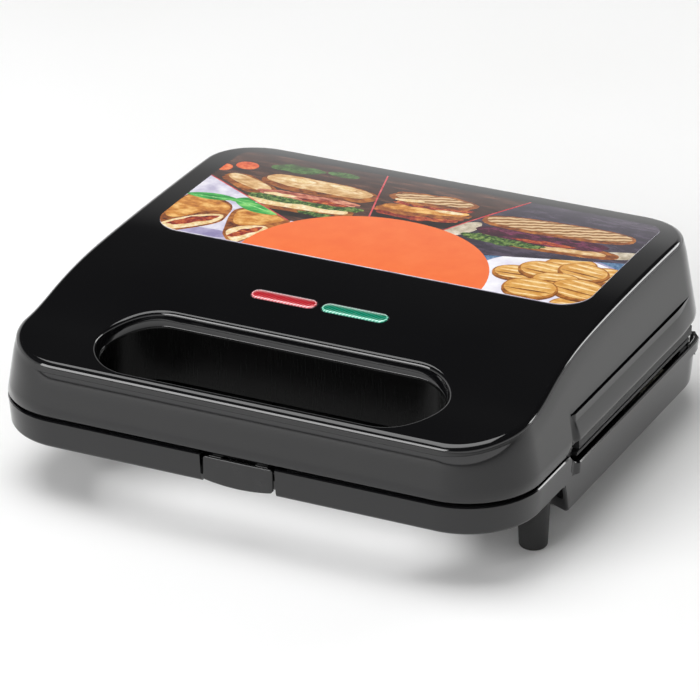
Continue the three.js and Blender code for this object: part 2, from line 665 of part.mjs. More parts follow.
const lid = new THREE.Group();
lid.add(
  piece("lid_shell", makeLidShell(), glossBlack),
  piece("lid_frame", makeLidFrame(), mattBlack),
  piece("upper_donut_plate", makePlate(UPPER_FACE, -1), nonstick),
  piece("upper_reflector_tray", makeTray(60, 49.4, UPPER_HEATER), aluminised),
  piece("upper_heating_element", makeElement(UPPER_HEATER), heaterSheath),
  piece(
    "thermal_fuse",
    makeThermostat(35, PLATE.y, UPPER_FACE + PLATE.thick + GAP, 58.6, -1), steel,
  ),
  piece("power_lens", makeLens(-1), redLens),
  piece("ready_lens", makeLens(1), greenLens),
  piece("power_lamp", makeLamp(-1), lampGlass),
  piece("ready_lamp", makeLamp(1), lampGlass),
  piece("lamp_holder", makeLampHolder(), mattBlack),
  piece("top_label", makeLabel(), printedFilm),
  piece("upper_clip_spring", makeCoil(...SPRING_SPAN, 47.6, 1.9, 0.35, 6), steel),
  piece(
    "lid_lead",
    swept([[91, 103, 42.4], [91.5, 101, 47], [95, 95, 51], [104, 84, 56], [110.4, 60, 60],
      [112, 34.5, 56]], 1.2, 24, 6),
    siliconeLead,
  ),
  ...SCREWS.map((at, k) => piece(`lid_screw_${CORNERS[k]}`, makeScrew(at, 41.1), steel)),
);

donutMaker.add(base, lid);
donutMaker.add(
  piece("latch", makeLatch(), mattBlack),
  piece("lower_plate_clip", makeClip(38.8, 1), mattBlack),
  piece("upper_plate_clip", makeClip(40.9, -1), mattBlack),
);

export default donutMaker;
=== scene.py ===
# A closed counter-top donut maker on a pale floor. Sizes are in millimetres up to the moment a
# mesh is made; +Z is up and the latch faces -Y.
import json
import math

import bmesh
import bpy
import numpy as np
from mathutils import Matrix, Vector
from mathutils.geometry import delaunay_2d_cdt


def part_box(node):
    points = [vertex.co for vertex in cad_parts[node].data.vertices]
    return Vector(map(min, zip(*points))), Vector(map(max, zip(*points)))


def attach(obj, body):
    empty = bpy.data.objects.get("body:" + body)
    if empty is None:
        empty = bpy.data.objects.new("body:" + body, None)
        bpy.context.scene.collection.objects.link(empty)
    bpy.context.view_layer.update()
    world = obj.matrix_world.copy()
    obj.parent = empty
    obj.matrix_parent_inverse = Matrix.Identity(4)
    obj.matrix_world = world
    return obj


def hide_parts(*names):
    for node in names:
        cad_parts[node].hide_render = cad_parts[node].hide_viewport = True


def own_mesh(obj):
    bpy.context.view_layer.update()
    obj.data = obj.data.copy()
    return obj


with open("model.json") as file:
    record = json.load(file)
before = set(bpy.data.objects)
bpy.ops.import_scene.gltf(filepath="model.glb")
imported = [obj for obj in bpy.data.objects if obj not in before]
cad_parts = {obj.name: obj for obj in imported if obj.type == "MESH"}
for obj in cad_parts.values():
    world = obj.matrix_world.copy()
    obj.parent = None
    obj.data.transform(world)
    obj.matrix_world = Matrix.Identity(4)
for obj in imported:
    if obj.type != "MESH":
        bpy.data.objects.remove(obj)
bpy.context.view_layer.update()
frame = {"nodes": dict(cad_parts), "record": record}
MM = 0.001


def node_box(name):
    """Lowest and highest corner of a CAD node, in millimetres."""
    low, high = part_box(name)
    return low / MM, high / MM


# ---- driving dimensions ----
BACK = node_box("base_shell")[1].y
FRONT = -BACK
WIDTH = 250.0  # housings without their side ribs
DEPTH = BACK - FRONT
CORNER = 34.0  # plan radius of both housings
WALL = 2.5  # moulded wall
RIB = 2.0 - 0.05  # how far the side ribs stand out
WINDOW_FRONT = FRONT + 70  # the side rims step apart and the side ribs start here
WINDOW_BACK = FRONT + 186  # the lid's ribs fade out behind here
REAR_CUT = BACK - 21  # behind this line the rims step apart for the hinge

LID_RIM = 42.2  # bottom edge of the lid at the front
LID_SIDE_RIM = 45.2
LID_REAR_RIM = 46.5
LID_RIB_TOP = 57.5
LID_RIB_FADE = (LID_RIB_TOP - 11, LID_RIB_TOP + 3)  # the rib softens into the wall up here
LID_DRAFT = 0.17  # lean of the lid's walls, mm per mm of height
LID_EDGE = 3.0  # radius between the lid's walls and its top
LID_BEND = 8.0  # the walls lean further in over this height under the edge
LID_EXTRA = 0.13  # mm per mm, the lean added by then
LID_LEAN = math.atan(LID_DRAFT + LID_EXTRA)  # the walls' angle where the rounded edge starts
BASE_RIM = 40.6  # top edge of the base at the front
BASE_SIDE_RIM = 35.6
BASE_REAR_RIM = 24.0
BASE_RIB_BOTTOM = 29.5
BASE_EDGE = 2.0  # radius between the base's walls and its underside
BASE_DRAFT = 0.08  # lean of the base's walls towards the underside, mm per mm
UNDERSIDE = 12.0  # underside of the main body
HANDLE_UNDERSIDE = 27.0  # underside of the shallow front part
HANDLE_BACK = FRONT + 63.5  # the raised underside ends here

HOLE_Y = FRONT + 31.8
HOLE_RADIUS = 23.0
HOLE_HALF = 58.0  # from the middle to the centre of each round end
HOLE_EDGE = 1.7  # radius round the hand hole's mouth
HOLE_BAND = 6.5  # depth of the glossy band below the mouth
HOLE_STEP = 1.6  # the liner stands in from the band by this much

LENS_LOW, LENS_HIGH = node_box("ready_lens")
LENS_Y = (LENS_LOW.y + LENS_HIGH.y) / 2
LENS_X = (LENS_LOW.x + LENS_HIGH.x) / 2
LENS_HALF = 15.5
LENS_RADIUS = 3.2
LENS_STRAIGHT = LENS_HALF - LENS_RADIUS
LENS_EDGE = 0.55  # radius round the mouth of its slot
LENS_PROUD = 0.05  # how far its edge stands above the lid
LENS_CROWN = 0.6  # how far its middle stands above its edge

LABEL_LOW, LABEL_HIGH = node_box("top_label")
LABEL_FRONT_RADIUS = 14.0
LABEL_REAR_RADIUS = 8.0
FILM_THICK = 0.3

LATCH_SLOT = 17.7  # half width of the slot in the base's front
LATCH_DEPTH = 5.4
LATCH_LOW, LATCH_HIGH = node_box("latch")
LATCH_PLATE_TOP = 39.8  # top edge of its press plate
LATCH_SMILE = 1.5  # the press plate's lower edge is this much lower in the middle
LATCH_PIVOT = (FRONT + 4, 37.5)  # y and z
GLAND_Z = 16.6
GLAND_RECESS = 7.5  # half width of the shallow recess round the gland
GLAND_SET_BACK = 0.7  # depth of that recess
GLAND_BLOCK = 12.0  # half width of the block that holds the gland
SCREW_WELLS = [  # x and y of the recesses round the screws
    (-116.4, -36), (116.4, -36), (-116.4, 70), (116.4, 70),
]

PARTING = 39.8  # midway between the closed plates
PLATE_FACE = PARTING - 0.2
PLATE_WIDTH = 218.0
PLATE_DEPTH = 129.0
PLATE_Y = 20.0
PLATE_SKIRT = 6.3
RING_RADIUS = 19.5  # of a donut's middle line
RING_TUBE = 9.5  # half a donut's thickness
RING_X = 70.0  # between the rings' middles, side to side
RING_Y = 61.0  # the same, front to back

# A long lens from the front right, looking down: angles in degrees.
CAMERA_AZIMUTH, CAMERA_ELEVATION, CAMERA_ROLL = 26.33, 25.52, -0.54
CAMERA_TARGET = (1.61, -11, 47.48)
CAMERA_DISTANCE = 1927.7
CAMERA_LENS = 226.5
CAMERA_SENSOR = 36
FLOOR_HALF = 9000

# Height of the lid's top from front to back, as distance behind the front and height.
LID_TOP = [
    (0, 64.4), (10, 67.0), (20, 69.0), (30, 69.9), (40, 70.8), (50, 73.0), (60, 75.8),
    (70, 78.0), (80, 79.6), (95, 80.9), (110, 81.6), (140, 82.3), (175, 82.5), (205, 82.0),
    (220, 81.0), (232, 79.6),
]


def natural_spline(knots, heights):
    """A smooth curve through the points, as a function of an array."""
    x, y = np.array(knots, float), np.array(heights, float)
    h = np.diff(x)
    slope = np.diff(y) / h
    n = len(x)
    grid = np.eye(n)
    right = np.zeros(n)
    for k in range(1, n - 1):
        grid[k, k - 1 : k + 2] = h[k - 1], 2 * (h[k - 1] + h[k]), h[k]
        right[k] = 6 * (slope[k] - slope[k - 1])
    bend = np.linalg.solve(grid, right)

    def value(at):
        at = np.asarray(at, float)
        k = np.clip(np.searchsorted(x, at) - 1, 0, n - 2)
        a, b = x[k + 1] - at, at - x[k]
        return (
            (bend[k] * a**3 + bend[k + 1] * b**3) / (6 * h[k])
            + (y[k] / h[k] - bend[k] * h[k] / 6) * a
            + (y[k + 1] / h[k] - bend[k + 1] * h[k] / 6) * b
        )

    return value


lid_top_from_front = natural_spline(*zip(*LID_TOP))


def lid_top(y):
    return lid_top_from_front(np.asarray(y, float) - FRONT)


def ease(low, high, at):
    """0 below low, 1 above high, smooth between."""
    t = np.clip((np.asarray(at, float) - low) / (high - low), 0, 1)
    return t * t * (3 - 2 * t)


# ---- outlines: arrays of points and outward normals, counter-clockwise ----
def rounded_rectangle(width, depth, radius, y=0.0, step=3.0, extra_x=(), extra_y=()):
    """extra_x are distances from the middle line where the front edge needs a point on each
    side; extra_y are the same for the side edges, as y."""
    points, normals = [], []
    x, near, far = width / 2 - radius, y - depth / 2 + radius, y + depth / 2 - radius
    arc = max(8, int(radius * math.pi / 2 / (step * 0.6)))

    def corner(cx, cy, start):
        for k in range(arc + 1):
            angle = start + math.pi / 2 * k / arc
            normal = (math.cos(angle), math.sin(angle))
            points.append((cx + radius * normal[0], cy + radius * normal[1]))
            normals.append(normal)

    def straight(start, end, normal, stops=()):
        length = math.dist(start, end)
        count = max(2, round(length / step))
        share = sorted({k / count for k in range(1, count)} | set(stops))
        for t in share:
            points.append(tuple(a + (b - a) * t for a, b in zip(start, end)))
            normals.append(normal)

    stops = sorted(0.5 + s * e / (2 * x) for e in extra_x for s in (-1, 1))
    straight((-x, near - radius), (x, near - radius), (0, -1), stops)
    corner(x, near, -math.pi / 2)
    sides = [(at - near) / (far - near) for at in extra_y]
    straight((x + radius, near), (x + radius, far), (1, 0), sides)
    corner(x, far, 0)
    straight((x, far + radius), (-x, far + radius), (0, 1))
    corner(-x, far, math.pi / 2)
    straight((-x - radius, far), (-x - radius, near), (-1, 0), [1 - t for t in sides])
    corner(-x, near, math.pi)
    return np.array(points), np.array(normals)


def round_slot(half, radius, x=0.0, y=0.0, arc=28, step=4.0):
    """A slot along x with round ends."""
    points, normals = [], []
    count = max(2, round(2 * half / step))
    for side in (1, -1):
        for k in range(arc + 1):
            angle = math.pi * k / arc - side * math.pi / 2
            normal = (math.cos(angle), math.sin(angle))
            points.append((x + side * half + radius * normal[0], y + radius * normal[1]))
            normals.append(normal)
        for k in range(1, count):
            along = half - 2 * half * k / count
            points.append((x + side * along, y + side * radius))
            normals.append((0, side))
    return np.array(points), np.array(normals)


def circle(radius, x, y, count=64):
    angle = np.linspace(0, 2 * math.pi, count, endpoint=False)
    normals = np.stack([np.cos(angle), np.sin(angle)], 1)
    return normals * radius + [x, y], normals


def inside(polygon, points):
    """Which points lie in the polygon."""
    a, b = polygon, np.roll(polygon, -1, 0)
    px, py = points[:, 0, None], points[:, 1, None]
    crosses = (a[None, :, 1] > py) != (b[None, :, 1] > py)
    rise = np.where(b[:, 1] == a[:, 1], 1e-12, b[:, 1] - a[:, 1])
    at = a[None, :, 0] + (py - a[None, :, 1]) * ((b[:, 0] - a[:, 0]) / rise)[None]
    return (crosses & (px < at)).sum(1) % 2 == 1


# ---- surfaces: lists of points and faces that are joined into one mesh ----
class Surface:
    """Collects points in millimetres and faces, with a material number for each face."""

    def __init__(self):
        self.points = []
        self.faces = []
        self.paint = []

    def rings(self, rows, closed=True, paint=0):
        """A skin over rows of equal length; closed rows join end to end."""
        base = len(self.points)
        count = len(rows[0])
        for row in rows:
            self.points.extend(map(tuple, row))
        for r in range(len(rows) - 1):
            for k in range(count if closed else count - 1):
                n = (k + 1) % count
                a, b = base + r * count + k, base + r * count + n
                self.faces.append((a, b, b + count, a + count))
                self.paint.append(paint)

    def region(self, outer, holes, height, grid=5.0, choose=None):
        """A flat outline with holes, lifted by height(x, y). Where choose(points) gives the
        faces their material numbers, the holes are only lines to cut along."""
        loops = [outer, *holes]
        gaps = holes if choose is None else []
        points, edges = [], []
        for loop in loops:
            first = len(points)
            points.extend(map(tuple, loop))
            edges.extend((first + k, first + (k + 1) % len(loop)) for k in range(len(loop)))
        low, high = outer.min(0), outer.max(0)
        xs = np.arange(low[0] + grid / 2, high[0], grid)
        ys = np.arange(low[1] + grid / 2, high[1], grid)
        mesh = np.array([(x, y) for y in ys for x in xs])
        keep = inside(outer, mesh)
        for loop in loops:
            gap = np.min(np.linalg.norm(mesh[:, None] - loop[None], axis=2), axis=1)
            keep &= gap > grid * 0.45
        for loop in gaps:
            keep &= ~inside(loop, mesh)
        points.extend(map(tuple, mesh[keep]))
        made, _, faces, *_ = delaunay_2d_cdt([Vector(p) for p in points], edges, [], 0, 1e-5)
        flat = np.array([tuple(p) for p in made])
        triangles = np.array(faces)
        middle = flat[triangles].mean(1)
        stays = inside(outer, middle)
        for loop in gaps:
            stays &= ~inside(loop, middle)
        number = choose(middle) if choose else np.zeros(len(middle), int)
        base = len(self.points)
        self.points.extend(map(tuple, lifted(flat, height(*flat.T))))
        for triangle, paint in zip(triangles[stays], number[stays]):
            self.faces.append(tuple(int(v) + base for v in triangle))
            self.paint.append(int(paint))

    def prism(self, profile, low, high, round_off=0.3, paint=0):
        """A bar along x with rounded edges; profile is its section as (y, z)."""
        work = bmesh.new()
        ends = [[work.verts.new((x, y, z)) for y, z in profile] for x in (low, high)]
        work.faces.new(ends[0])
        work.faces.new(ends[1])
        for k in range(len(profile)):
            n = (k + 1) % len(profile)
            work.faces.new((ends[0][k], ends[0][n], ends[1][n], ends[1][k]))
        bmesh.ops.recalc_face_normals(work, faces=work.faces)
        bmesh.ops.bevel(
            work, geom=list(work.edges), offset=round_off, segments=3, profile=0.5,
            affect="EDGES", clamp_overlap=True,
        )
        base = len(self.points)
        work.verts.index_update()
        self.points.extend(tuple(v.co) for v in work.verts)
        for face in work.faces:
            self.faces.append(tuple(base + v.index for v in face.verts))
            self.paint.append(paint)
        work.free()

    def lathe(self, profile, x, y, count=48, paint=0):
        """A turned form about an upright axis; profile is (radius, z)."""
        rows = [lifted(circle(max(r, 1e-4), x, y, count)[0], z) for r, z in profile]
        self.rings(rows, paint=paint)

    def moved(self, place, start=0):
        """Sends every point from start on through place(x, y, z)."""
        self.points[start:] = [place(*p) for p in self.points[start:]]

    def mesh(self, name, materials, sharp=32.0, normal=None):
        """The finished piece. normal(points) gives exact normals, or zeros where none is known."""
        data = bpy.data.meshes.new(name)
        data.from_pydata([Vector(p) * MM for p in self.points], [], self.faces)
        for finish in materials:
            data.materials.append(finish)
        data.polygons.foreach_set("material_index", self.paint)
        piece = bpy.data.objects.new(name, data)
        bpy.context.scene.collection.objects.link(piece)
        weld(data)
        data.polygons.foreach_set("use_smooth", [True] * len(data.polygons))
        data.set_sharp_from_angle(angle=math.radians(sharp))
        if normal:
            at = np.array([v.co for v in data.vertices]) / MM
            data.normals_split_custom_set_from_vertices(normal(at).tolist())
        return piece


def weld(data, distance=0.004):
    """Joins points that fall together and drops faces with no area."""
    work = bmesh.new()
    work.from_mesh(data)
    bmesh.ops.remove_doubles(work, verts=work.verts, dist=distance * MM)
    bmesh.ops.dissolve_degenerate(work, edges=work.edges, dist=distance * MM)
    bmesh.ops.recalc_face_normals(work, faces=work.faces)
    work.to_mesh(data)
    work.free()


def lifted(points, z):
    """Plan points at height z, which is one number or one for each."""
    return np.column_stack([points, np.broadcast_to(z, len(points))])


def level(height):
    """A flat face, as a height over the plan."""
    return lambda x, y: np.full_like(x, height)


def oblong(y_low, y_high, z_low, z_high):
    """The section of a plain bar along x."""
    return [(y_low, z_low), (y_high, z_low), (y_high, z_high), (y_low, z_high)]


# ---- materials ----
def linear(code):
    """An sRGB hex colour as linear RGBA."""
    parts = [int(code[k : k + 2], 16) / 255 for k in (0, 2, 4)]
    return tuple(c / 12.92 if c <= 0.04045 else ((c + 0.055) / 1.055) ** 2.4 for c in parts) + (1,)


def link(tree, node, **sources):
    """Joins sources to the node's inputs; a node stands for its first output."""
    for key, source in sources.items():
        socket = source.outputs[0] if hasattr(source, "outputs") else source
        tree.links.new(socket, node.inputs[key.replace("_", " ")])


def add(tree, kind, settings=None, **sources):
    """Adds a shader node with its settings and links. stops are the colours along a ramp."""
    node = tree.nodes.new("ShaderNode" + kind)
    for key, value in (settings or {}).items():
        if key == "stops":
            node.color_ramp.elements.remove(node.color_ramp.elements[1])
            for at, code in value[1:]:
                node.color_ramp.elements.new(at).color = linear(code)
            node.color_ramp.elements[0].position = value[0][0]
            node.color_ramp.elements[0].color = linear(value[0][1])
        elif key in node.inputs:
            node.inputs[key].default_value = value
        else:
            setattr(node, key, value)
    link(tree, node, **sources)
    return node


def material(name, colour, **shader):
    """A material, its node tree, its shader, and a point on the object in millimetres."""
    made = bpy.data.materials.new(name)
    made.use_nodes = True
    tree = made.node_tree
    principled = tree.nodes["Principled BSDF"]
    principled.inputs["Base Color"].default_value = linear(colour)
    for key, value in shader.items():
        principled.inputs[key.replace("_", " ")].default_value = value
    where = add(tree, "TexCoord")
    place = add(
        tree, "Mapping", {"Scale": (1 / MM, 1 / MM, 1 / MM)},
        Vector=where.outputs["Object"],
    )
    return made, tree, principled, place


def polished_abs():
    """Black ABS from a polished mould: a deep mirror, with dust specks and faint sink marks."""
    made, tree, shader, place = material("abs_black_polished_mould", "0b0b0c", IOR=1.54)
    # Dust and fine rub marks, about 1 mm apart, only blur the mirror a little.
    dust = add(
        tree, "TexNoise", {"Scale": 1 / 0.9, "Detail": 6.0, "Roughness": 0.7},
        Vector=place,
    )
    blur = add(
        tree, "MapRange",
        {"From Min": 0.58, "From Max": 0.78, "To Min": 0.06, "To Max": 0.14}, Value=dust,
    )
    # The pigment flows in clouds about 60 mm long.
    flow = add(tree, "TexNoise", {"Scale": 1 / 60}, Vector=place)
    tint = add(tree, "ValToRGB", {"stops": [(0, "08080a"), (1, "0e0e0f")]}, Fac=flow)
    # Sink marks are about 35 mm long and a few hundredths deep.
    sink = add(tree, "TexNoise", {"Scale": 1 / 35, "Detail": 1.0}, Vector=place)
    bump = add(tree, "Bump", {"Strength": 0.3, "Distance": 0.05 * MM}, Height=sink)
    link(tree, shader, Roughness=blur, Base_Color=tint, Normal=bump)
    return made


def satin_abs():
    """Black ABS from a satin mould, rubbed by fingers: a soft sheen, smoother in patches."""
    made, tree, shader, place = material("abs_black_satin_mould", "0c0c0d", IOR=1.54)
    rub = add(tree, "TexNoise", {"Scale": 1 / 7, "Detail": 4.0}, Vector=place)
    blur = add(tree, "MapRange", {"To Min": 0.14, "To Max": 0.34}, Value=rub)
    tint = add(tree, "ValToRGB", {"stops": [(0.3, "0a0a0b"), (0.7, "121213")]}, Fac=rub)
    grain = add(tree, "TexNoise", {"Scale": 1 / 0.4, "Detail": 2.0}, Vector=place)
    bump = add(tree, "Bump", {"Strength": 0.3, "Distance": 0.02 * MM}, Height=grain)
    link(tree, shader, Roughness=blur, Base_Color=tint, Normal=bump)
    return made


def unpolished_polypropylene():
    """Soot-black polypropylene from an unpolished core: it swallows light but for a dim sheen."""
    made, tree, shader, place = material(
        "polypropylene_black_unpolished", "040404", IOR=1.49, Specular_IOR_Level=0.12
    )
    # Upright streaks in its roughness and in its colour; the lighter colour streaks are a painted
    # reflection of soft upright strips.
    upright_stretch = add(tree, "Mapping", {"Scale": (1, 1, 0.1)}, Vector=place)
    lines = add(tree, "TexNoise", {"Scale": 1 / 1.2, "Detail": 3.0}, Vector=upright_stretch)
    blur = add(tree, "MapRange", {"To Min": 0.25, "To Max": 0.29}, Value=lines)
    tint = add(tree, "ValToRGB", {"stops": [(0.3, "040404"), (0.7, "060606")]}, Fac=lines)
    link(tree, shader, Roughness=blur, Base_Color=tint)
    return made


def grained_polypropylene():
    """Glass-filled polypropylene from a spark-eroded mould: a dull, fine grain."""
    made, tree, shader, place = material("polypropylene_black_spark_grain", "161617", IOR=1.49)
    # The real grain is about 0.05 mm; it is drawn at 0.4 mm, the finest that shows.
    grain = add(
        tree, "TexNoise", {"Scale": 1 / 0.4, "Detail": 2.0, "Roughness": 0.6},
        Vector=place,
    )
    tint = add(tree, "ValToRGB", {"stops": [(0.3, "101011"), (0.7, "202022")]}, Fac=grain)
    patch = add(tree, "TexNoise", {"Scale": 1 / 9}, Vector=place)
    blur = add(tree, "MapRange", {"To Min": 0.42, "To Max": 0.6}, Value=patch)
    bump = add(tree, "Bump", {"Strength": 0.5, "Distance": 0.05 * MM}, Height=grain)
    link(tree, shader, Roughness=blur, Base_Color=tint, Normal=bump)
    return made


def sprayed_ptfe():
    """PTFE sprayed on die-cast aluminium: charcoal, an orange-peel skin with mica glints."""
    made, tree, shader, place = material("ptfe_sprayed_on_cast_aluminium", "262627", IOR=1.38)
    peel = add(tree, "TexNoise", {"Scale": 1 / 1.4, "Detail": 2.0}, Vector=place)
    # Mica flakes are about 0.1 mm; they are drawn at 0.5 mm so that they show.
    flakes = add(tree, "TexVoronoi", {"Scale": 1 / 0.5}, Vector=place)
    glint = add(
        tree, "ValToRGB", {"stops": [(0.78, "242425"), (1, "55534f")]},
        Fac=flakes.outputs["Color"],
    )
    wear = add(tree, "TexNoise", {"Scale": 1 / 14, "Detail": 4.0}, Vector=place)
    blur = add(tree, "MapRange", {"To Min": 0.26, "To Max": 0.46}, Value=wear)
    bump = add(tree, "Bump", {"Strength": 0.5, "Distance": 0.08 * MM}, Height=peel)
    link(tree, shader, Roughness=blur, Base_Color=glint, Normal=bump)
    return made


def rolled_metal(name, dark, light, spacing, blur_low, blur_high):
    """Rolled or drawn metal: fine lines along x, and clouds in its colour."""
    made, tree, shader, place = material(name, light, Metallic=1.0)
    along = add(tree, "Mapping", {"Scale": (0.08, 1, 1)}, Vector=place)
    lines = add(
        tree, "TexNoise", {"Scale": 1 / spacing, "Detail": 4.0, "Roughness": 0.7},
        Vector=along,
    )
    blur = add(tree, "MapRange", {"To Min": blur_low, "To Max": blur_high}, Value=lines)
    cloud = add(tree, "TexNoise", {"Scale": 1 / 16, "Detail": 4.0}, Vector=place)
    tint = add(tree, "ValToRGB", {"stops": [(0.3, dark), (0.7, light)]}, Fac=cloud)
    bump = add(tree, "Bump", {"Strength": 0.3, "Distance": 0.02 * MM}, Height=lines)
    link(tree, shader, Roughness=blur, Base_Color=tint, Normal=bump)
    return made


def moulded_rubber(name, dark, light, blur_low, blur_high):
    """Moulded rubber: dull, with a faint bloom in patches a few millimetres across."""
    made, tree, shader, place = material(name, dark, IOR=1.52)
    bloom = add(tree, "TexNoise", {"Scale": 1 / 3.5, "Detail": 4.0}, Vector=place)
    blur = add(tree, "MapRange", {"To Min": blur_low, "To Max": blur_high}, Value=bloom)
    tint = add(tree, "ValToRGB", {"stops": [(0.3, dark), (0.75, light)]}, Fac=bloom)
    grain = add(tree, "TexNoise", {"Scale": 1 / 0.6}, Vector=place)
    bump = add(tree, "Bump", {"Strength": 0.3, "Distance": 0.04 * MM}, Height=grain)
    link(tree, shader, Roughness=blur, Base_Color=tint, Normal=bump)
    return made


def moulded_urea():
    """Compression-moulded urea: cream and slightly glossy, with flow marks."""
    made, tree, shader, place = material("urea_cream_moulded", "e6e0cf", Roughness=0.34, IOR=1.55)
    flow = add(tree, "TexNoise", {"Scale": 1 / 5, "Detail": 4.0}, Vector=place)
    tint = add(tree, "ValToRGB", {"stops": [(0.3, "dad3c0"), (0.7, "efeadb")]}, Fac=flow)
    link(tree, shader, Base_Color=tint)
    return made


def drawn_glass():
    """Drawn glass tube of a neon lamp: clear, with a warm tint."""
    made, tree, shader, place = material(
        "glass_neon_lamp_tube", "f2ece0", Roughness=0.05, IOR=1.5, Transmission_Weight=0.9
    )
    draw = add(tree, "TexNoise", {"Scale": 1 / 4}, Vector=place)
    bump = add(tree, "Bump", {"Strength": 0.1, "Distance": 0.05 * MM}, Height=draw)
    link(tree, shader, Normal=bump)
    return made


def prismatic_polycarbonate(name, dark, light):
    """Tinted polycarbonate over moulded prisms: slanting ribs that glint under a clear skin."""
    made, tree, shader, place = material(
        name, light, Roughness=0.2, IOR=1.58, Coat_Weight=0.8, Coat_Roughness=0.05
    )
    # The prisms are 1.2 mm apart, at 40 degrees to the lens.
    turned = add(tree, "Mapping", {"Rotation": (0, 0, math.radians(40))}, Vector=place)
    ribs = add(tree, "TexWave", {"Scale": 0.314 / 1.2}, Vector=turned).outputs["Fac"]
    tint = add(tree, "ValToRGB", {"stops": [(0.1, dark), (0.9, light)]}, Fac=ribs)
    bump = add(tree, "Bump", {"Strength": 0.4, "Distance": 0.1 * MM}, Height=ribs)
    link(tree, shader, Base_Color=tint, Normal=bump)
    return made


def print_on_film(name, tones, millimetres, stretch=1.0, turn=0.0, bands=0.0):
    """Ink under a gloss polyester film: mottled colour with a smooth clear skin over it."""
    made, tree, shader, place = material(name, tones[1], Roughness=0.2, IOR=1.57)
    lie = add(
        tree, "Mapping",
        {"Rotation": (0, 0, math.radians(turn)), "Scale": (1 / stretch, 1, 1)}, Vector=place,
    )
    mottle = add(
        tree, "TexNoise", {"Scale": 1 / millimetres, "Detail": 5.0, "Roughness": 0.62},
        Vector=lie,
    ).outputs[0]
    if bands:
        mottle = add(
            tree, "TexWave",
            {"Scale": 0.314 / bands, "Distortion": 3.0, "Detail": 2.0, "Detail Scale": 2.0},
            Vector=lie,
        ).outputs["Fac"]
    low, high = (0.1, 0.9) if bands else (0.34, 0.66)
    ink = add(
        tree, "ValToRGB",
        {"stops": [(low, tones[0]), (0.5, tones[1]), (high, tones[2])]}, Fac=mottle,
    )
    link(tree, shader, Base_Color=ink)
    return made


def painted_board():
    """Matt painted board: nearly white, with a barely seen unevenness."""
    made, tree, shader, place = material("board_white_matt_paint", "f6f6f5", Roughness=0.7, IOR=1.4)
    roll = add(tree, "TexNoise", {"Scale": 1 / 400}, Vector=place)
    tint = add(tree, "ValToRGB", {"stops": [(0.3, "f3f3f2"), (0.7, "f8f8f8")]}, Fac=roll)
    link(tree, shader, Base_Color=tint)
    return made


GLOSS = polished_abs()
SATIN = satin_abs()
GRAINED = grained_polypropylene()
LINER = unpolished_polypropylene()
NONSTICK = sprayed_ptfe()
ZINC = rolled_metal("steel_zinc_plated_drawn", "aeb1b6", "d2d3d4", 0.5, 0.2, 0.4)
BLACKED = rolled_metal("steel_black_oxide_drawn", "141415", "232326", 0.5, 0.3, 0.5)
RUBBER = moulded_rubber("rubber_black_moulded", "0d0d0d", "1b1b1b", 0.55, 0.8)
# Each lens plastic has a lighter copy for the lens's edge band: a painted highlight of the light
# that the edge refracts.
RED = prismatic_polycarbonate("polycarbonate_red_prisms", "8e0d16", "cf2f3b")
RED_EDGE_PAINTED_HIGHLIGHT = prismatic_polycarbonate("polycarbonate_red_edge", "d8505a", "f3b6ba")
GREEN = prismatic_polycarbonate("polycarbonate_green_prisms", "00533e", "0c9a76")
GREEN_EDGE_PAINTED_HIGHLIGHT = prismatic_polycarbonate("polycarbonate_green_edge", "2fae8c", "a6e6d2")

CAD_FINISHES = {
    "gloss_black": GLOSS,
    "matt_black": GRAINED,
    "nonstick": NONSTICK,
    "steel": ZINC,
    "rubber": RUBBER,
    "printed_film": GLOSS,
    "red_lens": RED,
    "green_lens": GREEN,
    "aluminised_sheet": rolled_metal(
        "steel_aluminised_cold_rolled", "bfc0bf", "dadada", 0.8, 0.3, 0.5
    ),
    "heater_sheath": rolled_metal("steel_heat_tinted_tube", "5b5f6c", "96826c", 0.5, 0.34, 0.5),
    "terminal_plastic": moulded_urea(),
    "silicone_lead": moulded_rubber("silicone_cream_extruded", "cfc9ba", "ddd8cb", 0.4, 0.6),
    "lamp_glass": drawn_glass(),
}


def finish_cad_nodes():
    for part in frame["record"]["subparts"]:
        data = frame["nodes"][part["node"]].data
        data.materials.clear()
        hidden_steel = part["node"] in ("latch_pin", "latch_spring")
        data.materials.append(BLACKED if hidden_steel else CAD_FINISHES[part["material_slot"]])


# ---- housings ----
HOLE = round_slot(HOLE_HALF, HOLE_RADIUS, 0, HOLE_Y)


def lid_rim(y):
    """Height of the lid's bottom edge."""
    z = LID_RIM + (LID_SIDE_RIM - LID_RIM) * ease(WINDOW_FRONT - 7, WINDOW_FRONT, y)
    return z + (LID_REAR_RIM - LID_SIDE_RIM) * ease(REAR_CUT, REAR_CUT + 3, y)


def base_rim(y):
    """Height of the base's top edge."""
    z = BASE_RIM + (BASE_SIDE_RIM - BASE_RIM) * ease(WINDOW_FRONT - 7, WINDOW_FRONT, y)
    return z + (BASE_REAR_RIM - BASE_SIDE_RIM) * ease(REAR_CUT - 0.4, REAR_CUT + 0.4, y)


def base_under(y):
    """Height of the base's underside, with the soft step behind the front feet."""
    step = ease(HANDLE_BACK - 4, HANDLE_BACK + 5, y)
    return HANDLE_UNDERSIDE + (UNDERSIDE - HANDLE_UNDERSIDE) * step


# The ribs' front ends need close points along the sides.
RIB_STOPS = np.arange(WINDOW_FRONT - 3, WINDOW_FRONT + 2.1, 0.5)


def rib_window(points, normals, full_to):
    """1 beside the plates, where the ribs stand out, fading from full_to to the rear corners."""
    y = points[:, 1]
    front = ease(WINDOW_FRONT - 3, WINDOW_FRONT + 1, y)
    back = 1 - ease(full_to, REAR_CUT - 1, y)
    return front * back * (np.abs(normals[:, 0]) > 0.5)


def rounded_in(points, normals, radius, angle):
    """The outline and drop at one angle of a rounded edge: 0 on the wall, 90 degrees on top."""
    return points - normals * radius * (1 - math.cos(angle)), radius * (1 - math.sin(angle))


